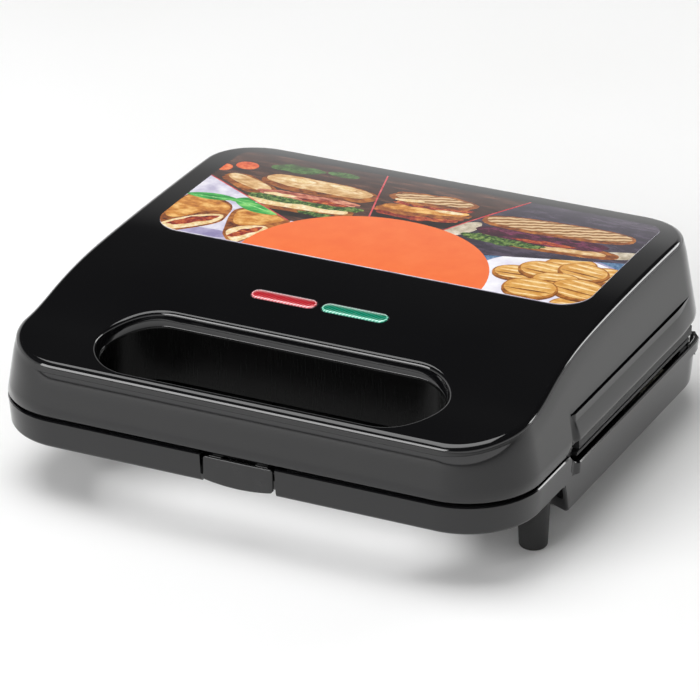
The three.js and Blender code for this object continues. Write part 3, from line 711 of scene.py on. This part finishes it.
def rounded_rows(outline, radius, height, count):
    """Rows from an upright wall round its edge to a face at height(x, y)."""
    rows = []
    for angle in np.linspace(0, math.pi / 2, count):
        at, drop = rounded_in(*outline, radius, angle)
        rows.append(lifted(at, height(*at.T) - drop))
    return rows


def rounded_mouth(outline, radius, count=9):
    """Rows of (outline, drop) from a flat face down into an opening, round its edge."""
    points, normals = outline
    angles = np.linspace(math.pi / 2, 0, count)
    return [rounded_in(points, -normals, radius, angle) for angle in angles]


def rim_rows(wall, rim, inward, depth):
    """Rows from inside a shell round its rim; inward is 1 or -1, the way up into the shell."""
    step = 0.5 * inward
    return [
        lifted(wall(rim, WALL), rim + depth * inward), lifted(wall(rim, WALL), rim + step),
        lifted(wall(rim, WALL - 0.5), rim), lifted(wall(rim, 0.5), rim),
        lifted(wall(rim + step), rim + step),
    ]


def lid_walls(outline, normals):
    """Rows from inside the lid, round its bottom edge and up to its top edge."""
    y = outline[:, 1]
    rim = lid_rim(y)
    window = rib_window(outline, normals, WINDOW_BACK - 4)
    edge_start = lid_top(y) - LID_EDGE * (1 - math.sin(LID_LEAN))

    def lean(z):
        """How far the wall has leaned in at z: a steady draft that grows under the edge."""
        bend = np.maximum(z - edge_start + LID_BEND, 0)
        return LID_DRAFT * (z - LID_RIM) + LID_EXTRA * bend**2 / (2 * LID_BEND)

    def wall(z, inset=0.0):
        stand_out = RIB * window * (1 - ease(*LID_RIB_FADE, z))
        return outline + normals * (stand_out - lean(z) - inset)[:, None]

    rows = rim_rows(wall, rim, 1, 12)
    # Close rows carry the rib's soft upper edge.
    for at_height in np.arange(47.0, LID_RIB_TOP + 4, 0.75):
        z = np.minimum(at_height, edge_start - LID_BEND)
        rows.append(lifted(wall(z), z))
    for share in np.linspace(1, 0, 8):
        z = edge_start - LID_BEND * share
        rows.append(lifted(wall(z), z))
    # The rounded edge starts at the lean that the wall has reached.
    leaned = lean(edge_start) - LID_EDGE * (1 - math.cos(LID_LEAN))
    top_of_wall = outline - normals * leaned[:, None]
    for angle in np.linspace(LID_LEAN, math.pi / 2, 12)[1:]:
        at, drop = rounded_in(top_of_wall, normals, LID_EDGE, angle)
        rows.append(lifted(at, lid_top(at[:, 1]) - drop))
    return rows


def lid_top_normal(points):
    """Exact normals on the lid's top, which is straight from side to side."""
    y = points[:, 1]
    on_top = np.abs(points[:, 2] - lid_top(y)) < 0.003
    slope = (lid_top(y + 0.05) - lid_top(y - 0.05)) / 0.1
    up = np.column_stack([np.zeros_like(y), -slope, np.ones_like(y)])
    return up / np.linalg.norm(up, axis=1)[:, None] * on_top[:, None]


def make_lid_housing():
    surface = Surface()
    rows = lid_walls(*rounded_rectangle(WIDTH, DEPTH, CORNER, extra_y=RIB_STOPS))
    surface.rings(rows)
    mouth = rounded_mouth(HOLE, HOLE_EDGE)
    points, normals = HOLE
    for inset, depth in ((0.5, HOLE_BAND - 0.6), (1.0, HOLE_BAND), (HOLE_STEP, HOLE_BAND)):
        mouth.append((points - normals * inset, depth))
    openings = [mouth]
    for side in (-1, 1):
        slot = round_slot(LENS_STRAIGHT, LENS_RADIUS + 0.15, side * LENS_X, LENS_Y, 16, 3)
        openings.append([*rounded_mouth(slot, LENS_EDGE, 5), (slot[0], 3.0)])
    for opening in openings:
        surface.rings([lifted(at, lid_top(at[:, 1]) - drop) for at, drop in opening])
    holes = [opening[0][0] for opening in openings]
    surface.region(rows[-1][:, :2], holes, lambda x, y: lid_top(y))
    piece = surface.mesh("lid_housing", [GLOSS], normal=lid_top_normal)
    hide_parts("lid_shell")
    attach(piece, "lid")


def base_walls(outline, normals):
    """Rows from inside the base, over its rim and down to its underside."""
    x, y = outline.T
    rim = base_rim(y)
    under = base_under(y)
    window = rib_window(outline, normals, REAR_CUT - 6)
    pocket = np.where((np.abs(x) < LATCH_SLOT) & (y < 0), LATCH_DEPTH, 0.0)
    pocket += np.where((np.abs(x) < GLAND_RECESS) & (y > 0), GLAND_SET_BACK, 0.0)

    def wall(z, inset=0.0):
        above = z - BASE_RIB_BOTTOM
        stand_out = RIB * window * np.where(above > 0, np.minimum(0.45 + above, 1), 0)
        draft = BASE_DRAFT * np.maximum(BASE_RIM - z, 0)
        return outline + normals * (stand_out - draft - pocket - inset)[:, None]

    rows = rim_rows(wall, rim, -1, 6)
    # The rib's lower edge is a sharp step.
    step = [BASE_RIB_BOTTOM + above for above in (0.55, 0.01, -0.01)]
    for at_height in (34.5, 32, *step, 26, 22, 18):
        z = np.maximum(np.minimum(at_height, rim - 0.6), under + BASE_EDGE)
        rows.append(lifted(wall(z), z))
    for angle in np.linspace(0, math.pi / 2, 9):
        at, drop = rounded_in(wall(under), normals, BASE_EDGE, angle)
        rows.append(lifted(at, under + drop))
    return rows


def make_base_housing():
    surface = Surface()
    # Two points close together give the latch's slot upright sides.
    slot = (LATCH_SLOT - 0.01, LATCH_SLOT + 0.01)
    outline, normals = rounded_rectangle(WIDTH, DEPTH, CORNER, extra_x=slot, extra_y=RIB_STOPS)
    rows = base_walls(outline, normals)
    surface.rings(rows)
    mouth = rounded_mouth(HOLE, 1.2)
    mouth.append((HOLE[0], BASE_RIM - HANDLE_UNDERSIDE - 0.6))
    surface.rings([lifted(at, base_under(at[:, 1]) + drop) for at, drop in mouth])
    wells = []
    for x, y in SCREW_WELLS:
        well = rounded_mouth(circle(3.5, x, y, 24), 0.4, 4)
        well.append((well[-1][0], 2.2))
        well.append((circle(0.01, x, y, 24)[0], 2.2))
        surface.rings([lifted(at, base_under(at[:, 1]) + drop) for at, drop in well])
        wells.append(well[0][0])
    surface.region(rows[-1][:, :2], [mouth[0][0], *wells], lambda x, y: base_under(y))
    behind = outline[:, 1] > REAR_CUT - 0.5
    deck = outline[behind] - normals[behind] * 0.5
    surface.region(deck, [], level(BASE_REAR_RIM))
    block = oblong(BACK - 28, BACK - 1, GLAND_Z - 7, UNDERSIDE + 1)
    surface.prism(block, -GLAND_BLOCK, GLAND_BLOCK, 1.6)
    piece = surface.mesh("base_housing", [GLOSS])
    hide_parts("base_shell")
    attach(piece, "base")


def make_hole_liner(name, body, high, low):
    """A dark tube through the hand hole of one half."""
    points, normals = round_slot(HOLE_HALF, HOLE_RADIUS - HOLE_STEP, 0, HOLE_Y)
    surface = Surface()
    rows = [(1.2, high), (0.4, high), (0.0, high - 0.4), (0.0, low + 0.4), (0.4, low), (1.2, low)]
    surface.rings([lifted(points + normals * out, z) for out, z in rows])
    piece = surface.mesh(name, [LINER])
    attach(piece, body)


def make_hole_liners():
    y = HOLE[0][:, 1]
    make_hole_liner("lid_hole_liner", "lid", lid_top(y) - HOLE_BAND + 0.3, LID_RIM + 0.2)
    make_hole_liner("base_hole_liner", "base", BASE_RIM, HANDLE_UNDERSIDE + 1.6)


# ---- lenses, latch, feet and gland ----
def make_lens(name, node, side, body_finish, rim_finish):
    """A domed obround whose edge stands just above the lid."""
    centre = side * LENS_X
    slot = round_slot(LENS_STRAIGHT, LENS_RADIUS - 0.05, centre, LENS_Y, 16, 3)

    def dome(x, y):
        along = np.clip(x, centre - LENS_STRAIGHT, centre + LENS_STRAIGHT)
        from_axis = np.hypot(x - along, y - LENS_Y) / LENS_RADIUS
        return lid_top(y) + LENS_PROUD + LENS_CROWN * (1 - np.minimum(from_axis, 1) ** 2)

    surface = Surface()
    rows = [lifted(slot[0], lid_top(slot[0][:, 1]) - 3)]
    for inset in (0.0, 0.35, 0.7):
        at = slot[0] - slot[1] * inset
        rows.append(lifted(at, dome(*at.T)))
    # The edge band takes the lighter edge finish, a painted highlight of light refracted at the
    # lens's edge.
    surface.rings(rows, paint=1)
    surface.region(rows[-1][:, :2], [], dome, grid=1.2)
    piece = surface.mesh(name, [body_finish, rim_finish], sharp=50)
    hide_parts(node)
    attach(piece, "lid")


def make_latch():
    """A slightly crowned press plate with a flared lower lip, its hook and its pivot lugs."""
    width, height = LATCH_HIGH.x - LATCH_LOW.x, LATCH_PLATE_TOP - LATCH_LOW.z
    middle = LATCH_LOW.z + height / 2
    outline = rounded_rectangle(width, height, 1.4, middle, step=1.2)

    def proud(x, z):
        """How far the plate's face stands out, as it lies flat."""
        lip = 0.3 * (1 - ease(LATCH_LOW.z + 1.2, LATCH_LOW.z + 4, z))
        crown = 0.25 * (1 - (x / (width / 2)) ** 2)
        return 1.05 + lip + crown

    surface = Surface()
    rows = [lifted(outline[0], 0), *rounded_rows(outline, 0.5, proud, 5)]
    surface.rings(rows)
    surface.region(rows[-1][:, :2], [], proud, grid=1.6)
    surface.region(rows[0][:, :2], [], level(0), grid=4)

    def fronted(x, y, z):
        """Stands the plate up, with its lower edge in a shallow curve."""
        near_bottom = 1 - float(ease(LATCH_LOW.z, LATCH_LOW.z + 7, y))
        return x, FRONT + 1.6 - z, y + LATCH_SMILE * (2 * x / width) ** 2 * near_bottom

    surface.moved(fronted)
    y, z = LATCH_PIVOT
    hook = [
        (y - 0.5, z + 2.3), (y + 0.7, z + 2.3), (y + 0.7, z + 8.5), (y - 0.2, z + 8.5),
        (y - 0.6, z + 7.6), (y - 0.5, z + 7),
    ]
    surface.prism(hook, -13, 13, 0.12)
    lug = oblong(FRONT + 1.4, y + 0.6, z - 1.6, z + 2.6)
    for side in (-1, 1):
        surface.prism(lug, side * 11 - 3, side * 11 + 3, 0.25)
        start = len(surface.points)
        surface.lathe([(0, -3), (1.7, -3), (2.1, -2.6), (2.1, 2.6), (1.7, 3), (0, 3)], 0, 0, 24)
        surface.moved(lambda px, py, pz: (side * 11 + pz, y + px, z + py), start)
    piece = surface.mesh("latch_press", [SATIN])
    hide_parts("latch")
    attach(piece, "latch")


def make_foot(name):
    """A tapered moulded foot with a rounded sole and a shallow cup under it."""
    low, high = node_box(name)
    x, y, top = (low.x + high.x) / 2, (low.y + high.y) / 2, high.z - 4.3
    wide = (high.x - low.x) / 2
    cup, sole, edge, stud = 3.0, 4.6, 1.6, 1.9
    profile = [(0, 0.5), (cup - 0.4, 0.5), (cup, 0.0), (sole, 0.0)]
    for angle in np.linspace(-math.pi / 2, 0, 7)[1:]:
        profile.append((sole + edge * math.cos(angle), edge + edge * math.sin(angle)))
    for share in (0.33, 0.66, 1.0):
        side = sole + edge + (wide - sole - edge - 0.1) * share
        profile.append((side, edge + (top - edge - 0.6) * share))
    profile += [(wide - 0.1, top - 0.3), (wide - 0.4, top)]
    profile += [(stud, top), (stud, high.z), (0, high.z)]
    surface = Surface()
    surface.lathe(profile, x, y, 64)
    piece = surface.mesh(f"{name}_moulding", [RUBBER])
    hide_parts(name)
    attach(piece, "base")


def make_gland():
    """A rubber sleeve with a rounded flange and a through bore."""
    flange, neck, bore, length = 5.7, 4.6, 2.4, 8.6
    profile = [
        (bore, length), (bore, 0.5), (bore + 0.4, 0.1), (flange - 0.8, 0), (flange - 0.2, 0.2),
        (flange, 0.7), (neck, 0.8), (neck, length), (bore, length),
    ]
    surface = Surface()
    surface.lathe(profile, 0, 0, 48)
    surface.moved(lambda x, y, z: (x, BACK - 0.05 - z, GLAND_Z + y))
    piece = surface.mesh("cord_gland_sleeve", [RUBBER])
    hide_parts("cord_gland")
    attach(piece, "base")


# ---- plates and springs ----
def make_plate(name, node, body, turned_over):
    """A cast plate with six ring cavities; the upper one is turned over about the parting."""
    outline = rounded_rectangle(PLATE_WIDTH, PLATE_DEPTH, 9, PLATE_Y)
    face, lip = PLATE_FACE, 0.5
    surface = Surface()
    rows = [lifted(outline[0] - outline[1] * 3, face - PLATE_SKIRT)]
    rows.append(lifted(outline[0], face - PLATE_SKIRT))
    rows += rounded_rows(outline, 0.8, level(face), 6)
    surface.rings(rows)
    holes = []
    for column in (-1, 0, 1):
        for row in (-0.5, 0.5):
            x, y = column * RING_X, PLATE_Y + row * RING_Y
            # From the flat face over the soft outer lip, round the cavity, to the middle island.
            angle = np.linspace(0.12, math.pi - 0.12, 22)
            round_cavity = zip(RING_RADIUS + RING_TUBE * np.cos(angle), RING_TUBE * np.sin(angle))
            outer, inner = RING_RADIUS + RING_TUBE + lip, RING_RADIUS - RING_TUBE - lip
            section = [(outer, 0.0), *round_cavity, (inner, 0.0)]
            rings = [circle(radius, x, y)[0] for radius, _ in section]
            surface.rings([lifted(ring, face - deep) for ring, (_, deep) in zip(rings, section)])
            surface.region(rings[-1], [], level(face))
            holes.append(rings[0])
    surface.region(rows[-1][:, :2], holes, level(face), grid=8)
    front = PLATE_Y - PLATE_DEPTH / 2
    surface.prism(oblong(front - 2, front + 1, face - 6, face - 4), -9, 9, 0.4)
    if turned_over:
        surface.moved(lambda px, py, pz: (px, py, 2 * PARTING - pz))
    piece = surface.mesh(name, [NONSTICK], sharp=40)
    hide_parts(node)
    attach(piece, body)


def make_clip_spring(name, node, body):
    """A coil of spring wire, as long as its CAD part."""
    low, high = node_box(node)
    wire, turns = 0.35, 6
    z, radius = (low.z + high.z) / 2, (high.z - low.z) / 2 - wire
    angle = np.linspace(0, 2 * math.pi * turns, turns * 20 + 1)
    along = np.linspace(low.y + wire, high.y - wire, len(angle))
    outward = np.column_stack([np.cos(angle), np.zeros_like(angle), np.sin(angle)])
    middle = outward * radius + np.column_stack([0 * along, along, z + 0 * along])
    forward = np.array([0, 1, 0])
    around = np.linspace(0, 2 * math.pi, 10, endpoint=False)
    rows = []
    for point, out in zip(middle, outward):
        rows.append([point + wire * (math.cos(t) * out + math.sin(t) * forward) for t in around])
    surface = Surface()
    surface.rings(rows)
    piece = surface.mesh(name, [ZINC], sharp=60)
    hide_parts(node)
    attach(piece, body)
    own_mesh(piece)


# ---- printed film ----
def oval(x, y, length, width, turn=0.0, square=2.0, count=36):
    """A rounded outline; a higher square gives blunter ends."""
    angle = np.linspace(0, 2 * math.pi, count, endpoint=False)
    c, s = np.cos(angle), np.sin(angle)
    px = length / 2 * np.sign(c) * np.abs(c) ** (2 / square)
    py = width / 2 * np.sign(s) * np.abs(s) ** (2 / square)
    t = math.radians(turn)
    return np.column_stack(
        [x + px * math.cos(t) - py * math.sin(t), y + px * math.sin(t) + py * math.cos(t)]
    )


def frilled(outline, depth, waves):
    """The outline with a wavy edge, as of lettuce or torn bread."""
    middle = outline.mean(0)
    t = np.linspace(0, 2 * math.pi, len(outline), endpoint=False)
    swing = depth * (0.6 * np.sin(waves * t) + 0.4 * np.sin(waves * 1.7 * t + 1))
    arm = outline - middle
    return outline + arm / np.linalg.norm(arm, axis=1)[:, None] * swing[:, None]


def leaf(start, end, width, count=14):
    """A pointed leaf from its stalk to its tip."""
    a, b = np.array(start, float), np.array(end, float)
    along = b - a
    across = np.array([-along[1], along[0]]) / np.linalg.norm(along)
    t = np.linspace(0, 1, count)
    half = width / 2 * np.sin(math.pi * t) ** 0.8
    upper = a + along * t[:, None] + across * half[:, None]
    lower = a + along * t[:, None] - across * half[:, None]
    return np.vstack([lower, upper[-2:0:-1]])


def soft(points, steps=5):
    """A closed smooth curve through a few points."""
    p = np.array(points, float)
    out = []
    for k in range(len(p)):
        a, b, c, d = (p[(k + j) % len(p)] for j in (-1, 0, 1, 2))
        for t in np.linspace(0, 1, steps, endpoint=False):
            out.append(
                0.5 * (2 * b + (c - a) * t + (2 * a - 5 * b + 4 * c - d) * t**2
                       + (3 * b - a - 3 * c + d) * t**3)
            )
    return np.array(out)


def strip(start, end, width):
    """A thin straight band."""
    a, b = np.array(start, float), np.array(end, float)
    across = np.array([a[1] - b[1], b[0] - a[0]]) / math.dist(start, end) * width / 2
    return np.array([a - across, b - across, b + across, a + across])


class Picture:
    """Shapes painted one over another, each kept to its own panel of the film."""

    def __init__(self):
        self.shapes = []
        self.inks = []
        self.panel = None

    def on(self, panel):
        """Keeps what is painted next inside one panel, or anywhere; gives the brush."""
        self.panel = None if panel is None else np.array(panel)
        return self.paint

    def paint(self, ink, *outlines):
        """Lays shapes in one ink over what is there."""
        if ink not in self.inks:
            self.inks.append(ink)
        for outline in outlines:
            self.shapes.append((self.inks.index(ink), outline, self.panel))

    def choose(self, points):
        """The ink of the topmost shape at each point."""
        number = np.zeros(len(points), int)
        for ink, outline, panel in self.shapes:
            hit = inside(outline, points)
            if panel is not None:
                hit &= inside(panel, points)
            number[hit] = ink
        return number


# Each ink's tones from dark to light, the size of its mottle in millimetres, how much longer than
# wide the mottle is, its turn in degrees, and the spacing of grill bands in millimetres.
INKS = {
    "orange": (("f0703a", "f2743c", "f47840"), 12),
    "rose": (("b8343c", "d04a52", "e06a6c"), 4),
    "wood": (("2a1814", "432a22", "644336"), 3, 5, 8),
    "slate": (("2a2430", "3c3444", "564c5c"), 4, 3, -10),
    "linen": (("b9b3cc", "d6d2e2", "eeebf2"), 9),
    "denim": (("35577c", "52779c", "86a4c0"), 1.6, 1, 40),
    "crust": (("5a290e", "93501f", "c07a34"), 3, 1.5, 20),
    "toast": (("a05a20", "d08a3a", "f2c274"), 4.5, 1.6, 15),
    "bread": (("b98850", "dcb27a", "f4dfb4"), 3.2, 2, 5),
    "crumb": (("e0b878", "f0d6a2", "fbeed0"), 2.4),
    "grilled": (("8a5c30", "c39763", "e2c498"), 3, 1, 68, 3.0),
    "filling": (("4a1410", "9c3222", "d87a3c"), 2.2, 1.5),
    "ham": (("7c3026", "c2705a", "eeb08c"), 2.0, 2.5),
    "beet": (("240a18", "4e1730", "843a5c"), 2.4, 2.5, -8),
    "lettuce": (("1c3010", "41642a", "8fa458"), 1.9),
    "basil": (("1c7a34", "40ac4e", "92d876"), 4, 3),
    "vein": (("5cbc60", "86d480", "b6ea9c"), 2),
    "blurred_herb": (("2a3c1c", "41602c", "5c8448"), 7),
    "tomato": (("b43a1c", "dc5a2a", "f08a50"), 5),
    "china": (("d9d3e6", "edebf3", "fbfafc"), 14),
    "china_shade": (("8d84ac", "a9a1c2", "c6c0d8"), 10),
    "paper": (("a89a84", "c9bca6", "e6dccb"), 4),
    "biscuit": (("c98a38", "dea552", "edc078"), 2.5, 2),
    "biscuit_light": (("f0c880", "f6d89c", "fbe9bd"), 2),
    "biscuit_edge": (("7c4512", "a66422", "c88436"), 3),
    "biscuit_seam": (("5e300a", "7c4412", "9c5e20"), 3),
    "shadow": (("120a09", "1c1110", "281a18"), 5),
}


def paint_toasted_triangles(picture):
    """Two cut toasted sandwiches on a pale cloth, with basil across them."""
    paint = picture.on([(-112, 67), (-50, 32), (0, 32), (0, -12), (-112, -12)])
    paint("linen", picture.panel)
    paint("china_shade", oval(-82, 5, 34, 9, 8), oval(-54, 3, 22, 8, 0))
    wedge = soft([(-105, 4), (-105, 36), (-98, 43), (-81, 37), (-77, 24), (-78, 16), (-88, 5),
                  (-97, -1)])
    paint("crust", wedge)
    paint("toast", soft([(-104, 17), (-104, 37), (-97, 41), (-82, 36), (-80, 30),
                         (-88, 26), (-97, 15)]))
    paint("crumb", soft([(-102, 3), (-98, 12), (-88, 22), (-79, 25), (-79, 17), (-88, 7),
                         (-97, 1)]))
    paint("filling", frilled(oval(-89, 15, 24, 6, 42), 1.0, 5))
    second = soft([(-72, 12), (-77, 32), (-67, 38), (-49, 33), (-53, 20), (-58, 6), (-62, 0),
                   (-69, 6)])
    paint("crust", second)
    paint("toast", soft([(-71, 20), (-75, 32), (-67, 36), (-52, 32), (-56, 25), (-63, 20)]))
    paint("crumb", soft([(-70, 12), (-66, 18), (-57, 22), (-54, 18), (-59, 6), (-62, 2),
                         (-68, 7)]))
    paint("filling", frilled(oval(-62, 13, 18, 5, 55), 0.8, 5))
    paint("basil", leaf((-80, 43), (-106, 40), 7), leaf((-82, 42), (-57, 35), 9),
          leaf((-84, 41), (-70, 47), 6))
    paint("vein", leaf((-81, 42), (-103, 40), 0.8), leaf((-81, 42), (-59, 36), 0.9))


def paint_long_sandwich(picture):
    """A long filled loaf on dark wood, with blurred tomato and herbs behind it."""
    paint = picture.on([(-112, 67), (-50, 32), (0, 32), (-19, 51), (-34, 105), (-112, 105)])
    paint("wood", picture.panel)
    paint("tomato", oval(-95, 80, 11, 9), oval(-104, 74, 8, 8))
    paint("blurred_herb", frilled(oval(-72, 86, 26, 9, 6), 1.2, 4), oval(-50, 89, 16, 6))
    paint("shadow", oval(-56, 42, 60, 12, 3))
    paint("crust", frilled(oval(-84, 61, 32, 13, -22, 2.6), 0.8, 4))
    paint("bread", oval(-85, 63, 27, 8, -22, 2.6))
    paint("crust", oval(-54, 47, 56, 12, 4, 3.0))
    paint("crumb", oval(-55, 48, 52, 7, 4, 3.0))
    paint("lettuce", frilled(oval(-52, 53, 56, 8, 4, 2.6), 1.4, 9))
    paint("ham", frilled(oval(-53, 58, 50, 7, 3, 2.6), 1.2, 7))
    paint("filling", frilled(oval(-44, 56, 24, 4, 2), 0.9, 5))
    paint("crumb", frilled(oval(-66, 56, 16, 3, 4), 0.7, 4))
    paint("crust", frilled(oval(-53, 70, 58, 17, -2, 2.8), 0.7, 6))
    paint("bread", frilled(oval(-54, 72, 53, 12, -2, 2.8), 0.7, 6))
    paint("crumb", oval(-66, 74, 18, 4, 4), oval(-44, 75, 14, 3, -4))
    paint("lettuce", frilled(oval(-41, 43, 20, 4, 2), 1.0, 7))


def paint_grilled_stack(picture):
    """A heap of grilled folded bread on dark wood."""
    paint = picture.on([(-34, 105), (-19, 51), (0, 30), (17, 51), (43, 105)])
    paint("wood", picture.panel)
    paint("shadow", oval(2, 58, 50, 14, 4))
    paint("filling", frilled(oval(0, 62, 42, 12, 6), 1.2, 7))
    paint("crust", frilled(oval(1, 66, 44, 12, 8, 2.4), 1.0, 6))
    paint("toast", frilled(oval(1, 68, 40, 8, 8, 2.4), 0.8, 6))
    paint("filling", frilled(oval(3, 73, 38, 7, 6), 1.0, 8))
    paint("crust", frilled(oval(0, 79, 42, 14, 4, 2.4), 1.0, 6))
    paint("grilled", frilled(oval(0, 80, 37, 9, 4, 2.4), 0.8, 6))
    paint("crumb", oval(-10, 75, 14, 3, 10), oval(12, 70, 14, 3, 6))


def paint_dark_sandwich(picture):
    """Grilled bread over purple leaves on slate, with torn paper beside it."""
    paint = picture.on([(43, 105), (17, 51), (0, 30), (43, 34), (112, 54), (112, 105)])
    paint("slate", picture.panel)
    paint("paper", soft([(14, 49), (19, 59), (29, 66), (31, 58), (24, 48)]))
    paint("paper", soft([(84, 50), (104, 56), (108, 64), (98, 62), (86, 56)]))
    paint("crust", oval(66, 54, 68, 11, 4, 2.8))
    paint("bread", oval(64, 54, 60, 6, 4, 2.8))
    paint("lettuce", frilled(oval(46, 52, 40, 9, 2), 1.2, 7))
    paint("beet", frilled(oval(61, 61, 62, 13, 3, 2.4), 1.3, 7))
    paint("filling", frilled(oval(64, 57, 30, 3.5, 4), 0.8, 5))
    paint("crust", oval(64, 73, 72, 16, 4, 2.7))
    paint("grilled", oval(64, 74, 68, 12, 4, 2.7))


def paint_biscuits(picture):
    """Ridged nut-shaped biscuits heaped on a white plate over blue cloth."""
    paint = picture.on([(43, 34), (112, 54), (112, -12), (0, -12), (0, 30)])
    paint("denim", picture.panel)
    paint("china_shade", oval(83, 17, 76, 66))
    paint("china", oval(82, 19, 72, 60))
    for x, y, length, width, turn in (
        (101, 36, 20, 17, 24), (84, 40, 24, 17, 14), (65, 24, 21, 15, 6), (76, 31, 25, 18, -4),
        (92, 36, 24, 17, -6), (101, 3, 22, 17, 6), (84, 24, 22, 15, 10), (97, 19, 26, 20, -8),
        (77, 12, 25, 20, 4),
    ):
        along = np.array([math.cos(math.radians(turn)), math.sin(math.radians(turn))])
        across = np.array([-along[1], along[0]])
        middle = np.array([x, y])
        paint("biscuit_seam", oval(x + 0.6, y - 1.4, length, width, turn, 2.1))
        paint("biscuit_edge", oval(x, y, length, width, turn, 2.1))
        paint("biscuit", oval(x - 0.2, y + 0.8, length - 2, width - 2.6, turn, 2.1))
        for share, breadth in ((0.34, 1.6), (0.12, 1.4), (-0.3, 1.2)):
            ridge = middle + across * width * share
            reach = along * length * (0.42 - abs(share) * 0.35)
            paint("biscuit_light", leaf(ridge - reach, ridge + reach, breadth))
        split = middle - across * width * 0.1
        reach = along * length * 0.45
        paint("biscuit_seam", leaf(split - reach, split + reach, 1.1))


def paint_film():
    """Five panels parted by rose lines, with an orange disc over their lower ends."""
    picture = Picture()
    for paint_panel in (
        paint_toasted_triangles, paint_long_sandwich, paint_grilled_stack, paint_dark_sandwich,
        paint_biscuits,
    ):
        paint_panel(picture)
    paint = picture.on(None)
    paint("rose", strip((-106, 63.5), (-50, 32), 0.7), strip((-34, 105), (-18, 48), 0.8),
          strip((43, 105), (16, 48), 0.8))
    paint("orange", oval(0, -1, 117, 109, 0, 2.05, 96))
    return picture


def make_film():
    """The printed film, one mesh whose faces take the ink of the topmost shape."""
    width, depth = LABEL_HIGH.x - LABEL_LOW.x, LABEL_HIGH.y - LABEL_LOW.y
    middle = (LABEL_LOW.y + LABEL_HIGH.y) / 2
    near, rear = (
        rounded_rectangle(width, depth, radius, middle)[0]
        for radius in (LABEL_FRONT_RADIUS, LABEL_REAR_RADIUS)
    )
    outline = np.vstack([near[near[:, 1] < middle], rear[rear[:, 1] > middle]])
    outline = outline[np.argsort(np.arctan2(outline[:, 1] - middle, outline[:, 0]))]
    picture = paint_film()
    loops = [shape for _, shape, _ in picture.shapes]

    def face(x, y):
        return lid_top(y) + FILM_THICK

    def exact(points):
        """Normals on the film's face, which lies parallel to the lid's top."""
        return lid_top_normal(points - [0, 0, FILM_THICK])

    surface = Surface()
    surface.rings([lifted(outline, lid_top(outline[:, 1]) + rise) for rise in (0.02, FILM_THICK)])
    surface.region(outline, loops, face, grid=4, choose=picture.choose)
    inks = [print_on_film(f"print_{ink}", *INKS[ink]) for ink in picture.inks]
    piece = surface.mesh("printed_film", inks, normal=exact)
    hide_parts("top_label")
    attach(piece, "lid")


# ---- stage ----
def make_camera():
    azimuth, elevation, roll = (
        math.radians(angle) for angle in (CAMERA_AZIMUTH, CAMERA_ELEVATION, CAMERA_ROLL)
    )
    back = Vector((
        math.sin(azimuth) * math.cos(elevation),
        -math.cos(azimuth) * math.cos(elevation),
        math.sin(elevation),
    ))
    data = bpy.data.cameras.new("camera")
    data.sensor_width = CAMERA_SENSOR
    data.lens = CAMERA_LENS
    data.clip_end = 50
    camera = bpy.data.objects.new("camera", data)
    bpy.context.scene.collection.objects.link(camera)
    right = (-back).cross(Vector((0, 0, 1))).normalized()
    up = right.cross(-back)
    level = right * math.cos(roll) + up * math.sin(roll)
    upright = up * math.cos(roll) - right * math.sin(roll)
    axes = Matrix((level, upright, back)).transposed().to_4x4()
    stand = (Vector(CAMERA_TARGET) + back * CAMERA_DISTANCE) * MM
    camera.matrix_world = Matrix.Translation(stand) @ axes
    bpy.context.scene.camera = camera


def make_softbox(name, position, width, height, power, aim=(0, 0, 0.04)):
    """A rectangular lamp that faces the aim; sizes in metres, power in watts."""
    data = bpy.data.lights.new(name, "AREA")
    data.shape = "RECTANGLE"
    data.size = width
    data.size_y = height
    data.energy = power
    light = bpy.data.objects.new(name, data)
    bpy.context.scene.collection.objects.link(light)
    light.location = position
    light.rotation_euler = (Vector(aim) - Vector(position)).to_track_quat("-Z", "Y").to_euler()


def make_floor():
    surface = Surface()
    line = np.linspace(-FLOOR_HALF, FLOOR_HALF, 13)
    surface.rings([[(x, y, 0.0) for x in line] for y in line], closed=False)
    surface.mesh("floor", [painted_board()])


def make_room():
    """A white wall all round up to about 24 degrees, and a dim room above it."""
    world = bpy.data.worlds.new("studio")
    world.use_nodes = True
    tree = world.node_tree
    where = add(tree, "TexCoord")
    height = add(tree, "SeparateXYZ", Vector=where.outputs["Generated"])
    shade = add(
        tree, "ValToRGB",
        {"stops": [(0.0, "ffffff"), (0.16, "e8e8e8"), (0.36, "b4b4b4"), (0.45, "2c2c2c"),
                   (1.0, "2c2c2c")]},
        Fac=height.outputs["Z"],
    )
    tree.nodes["Background"].inputs["Strength"].default_value = 1.5
    link(tree, tree.nodes["Background"], Color=shade)
    bpy.context.scene.world = world


def make_lights():
    """One above, one that draws the bright line on the front edge, one behind the right edges."""
    make_softbox("overhead", (-0.25, -0.15, 1.8), 1.5, 1.5, 27)
    make_softbox("front_left", (-1.0, -1.9, 1.05), 1.5, 0.9, 34)
    make_softbox("edge_back_right", (0.75, 1.45, 0.72), 0.9, 0.3, 6)


finish_cad_nodes()
make_lid_housing()
make_base_housing()
make_hole_liners()
make_lens("power_window", "power_lens", -1, RED, RED_EDGE_PAINTED_HIGHLIGHT)
make_lens("ready_window", "ready_lens", 1, GREEN, GREEN_EDGE_PAINTED_HIGHLIGHT)
make_latch()
for corner in ("front_left", "front_right", "rear_left", "rear_right"):
    make_foot(f"foot_{corner}")
make_gland()
make_plate("lower_plate_casting", "lower_donut_plate", "base", False)
make_plate("upper_plate_casting", "upper_donut_plate", "lid", True)
make_clip_spring("lower_clip_coil", "lower_clip_spring", "base")
make_clip_spring("upper_clip_coil", "upper_clip_spring", "lid")
make_film()
make_camera()
make_floor()
make_room()
make_lights()
bpy.context.scene.view_settings.view_transform = "Standard"
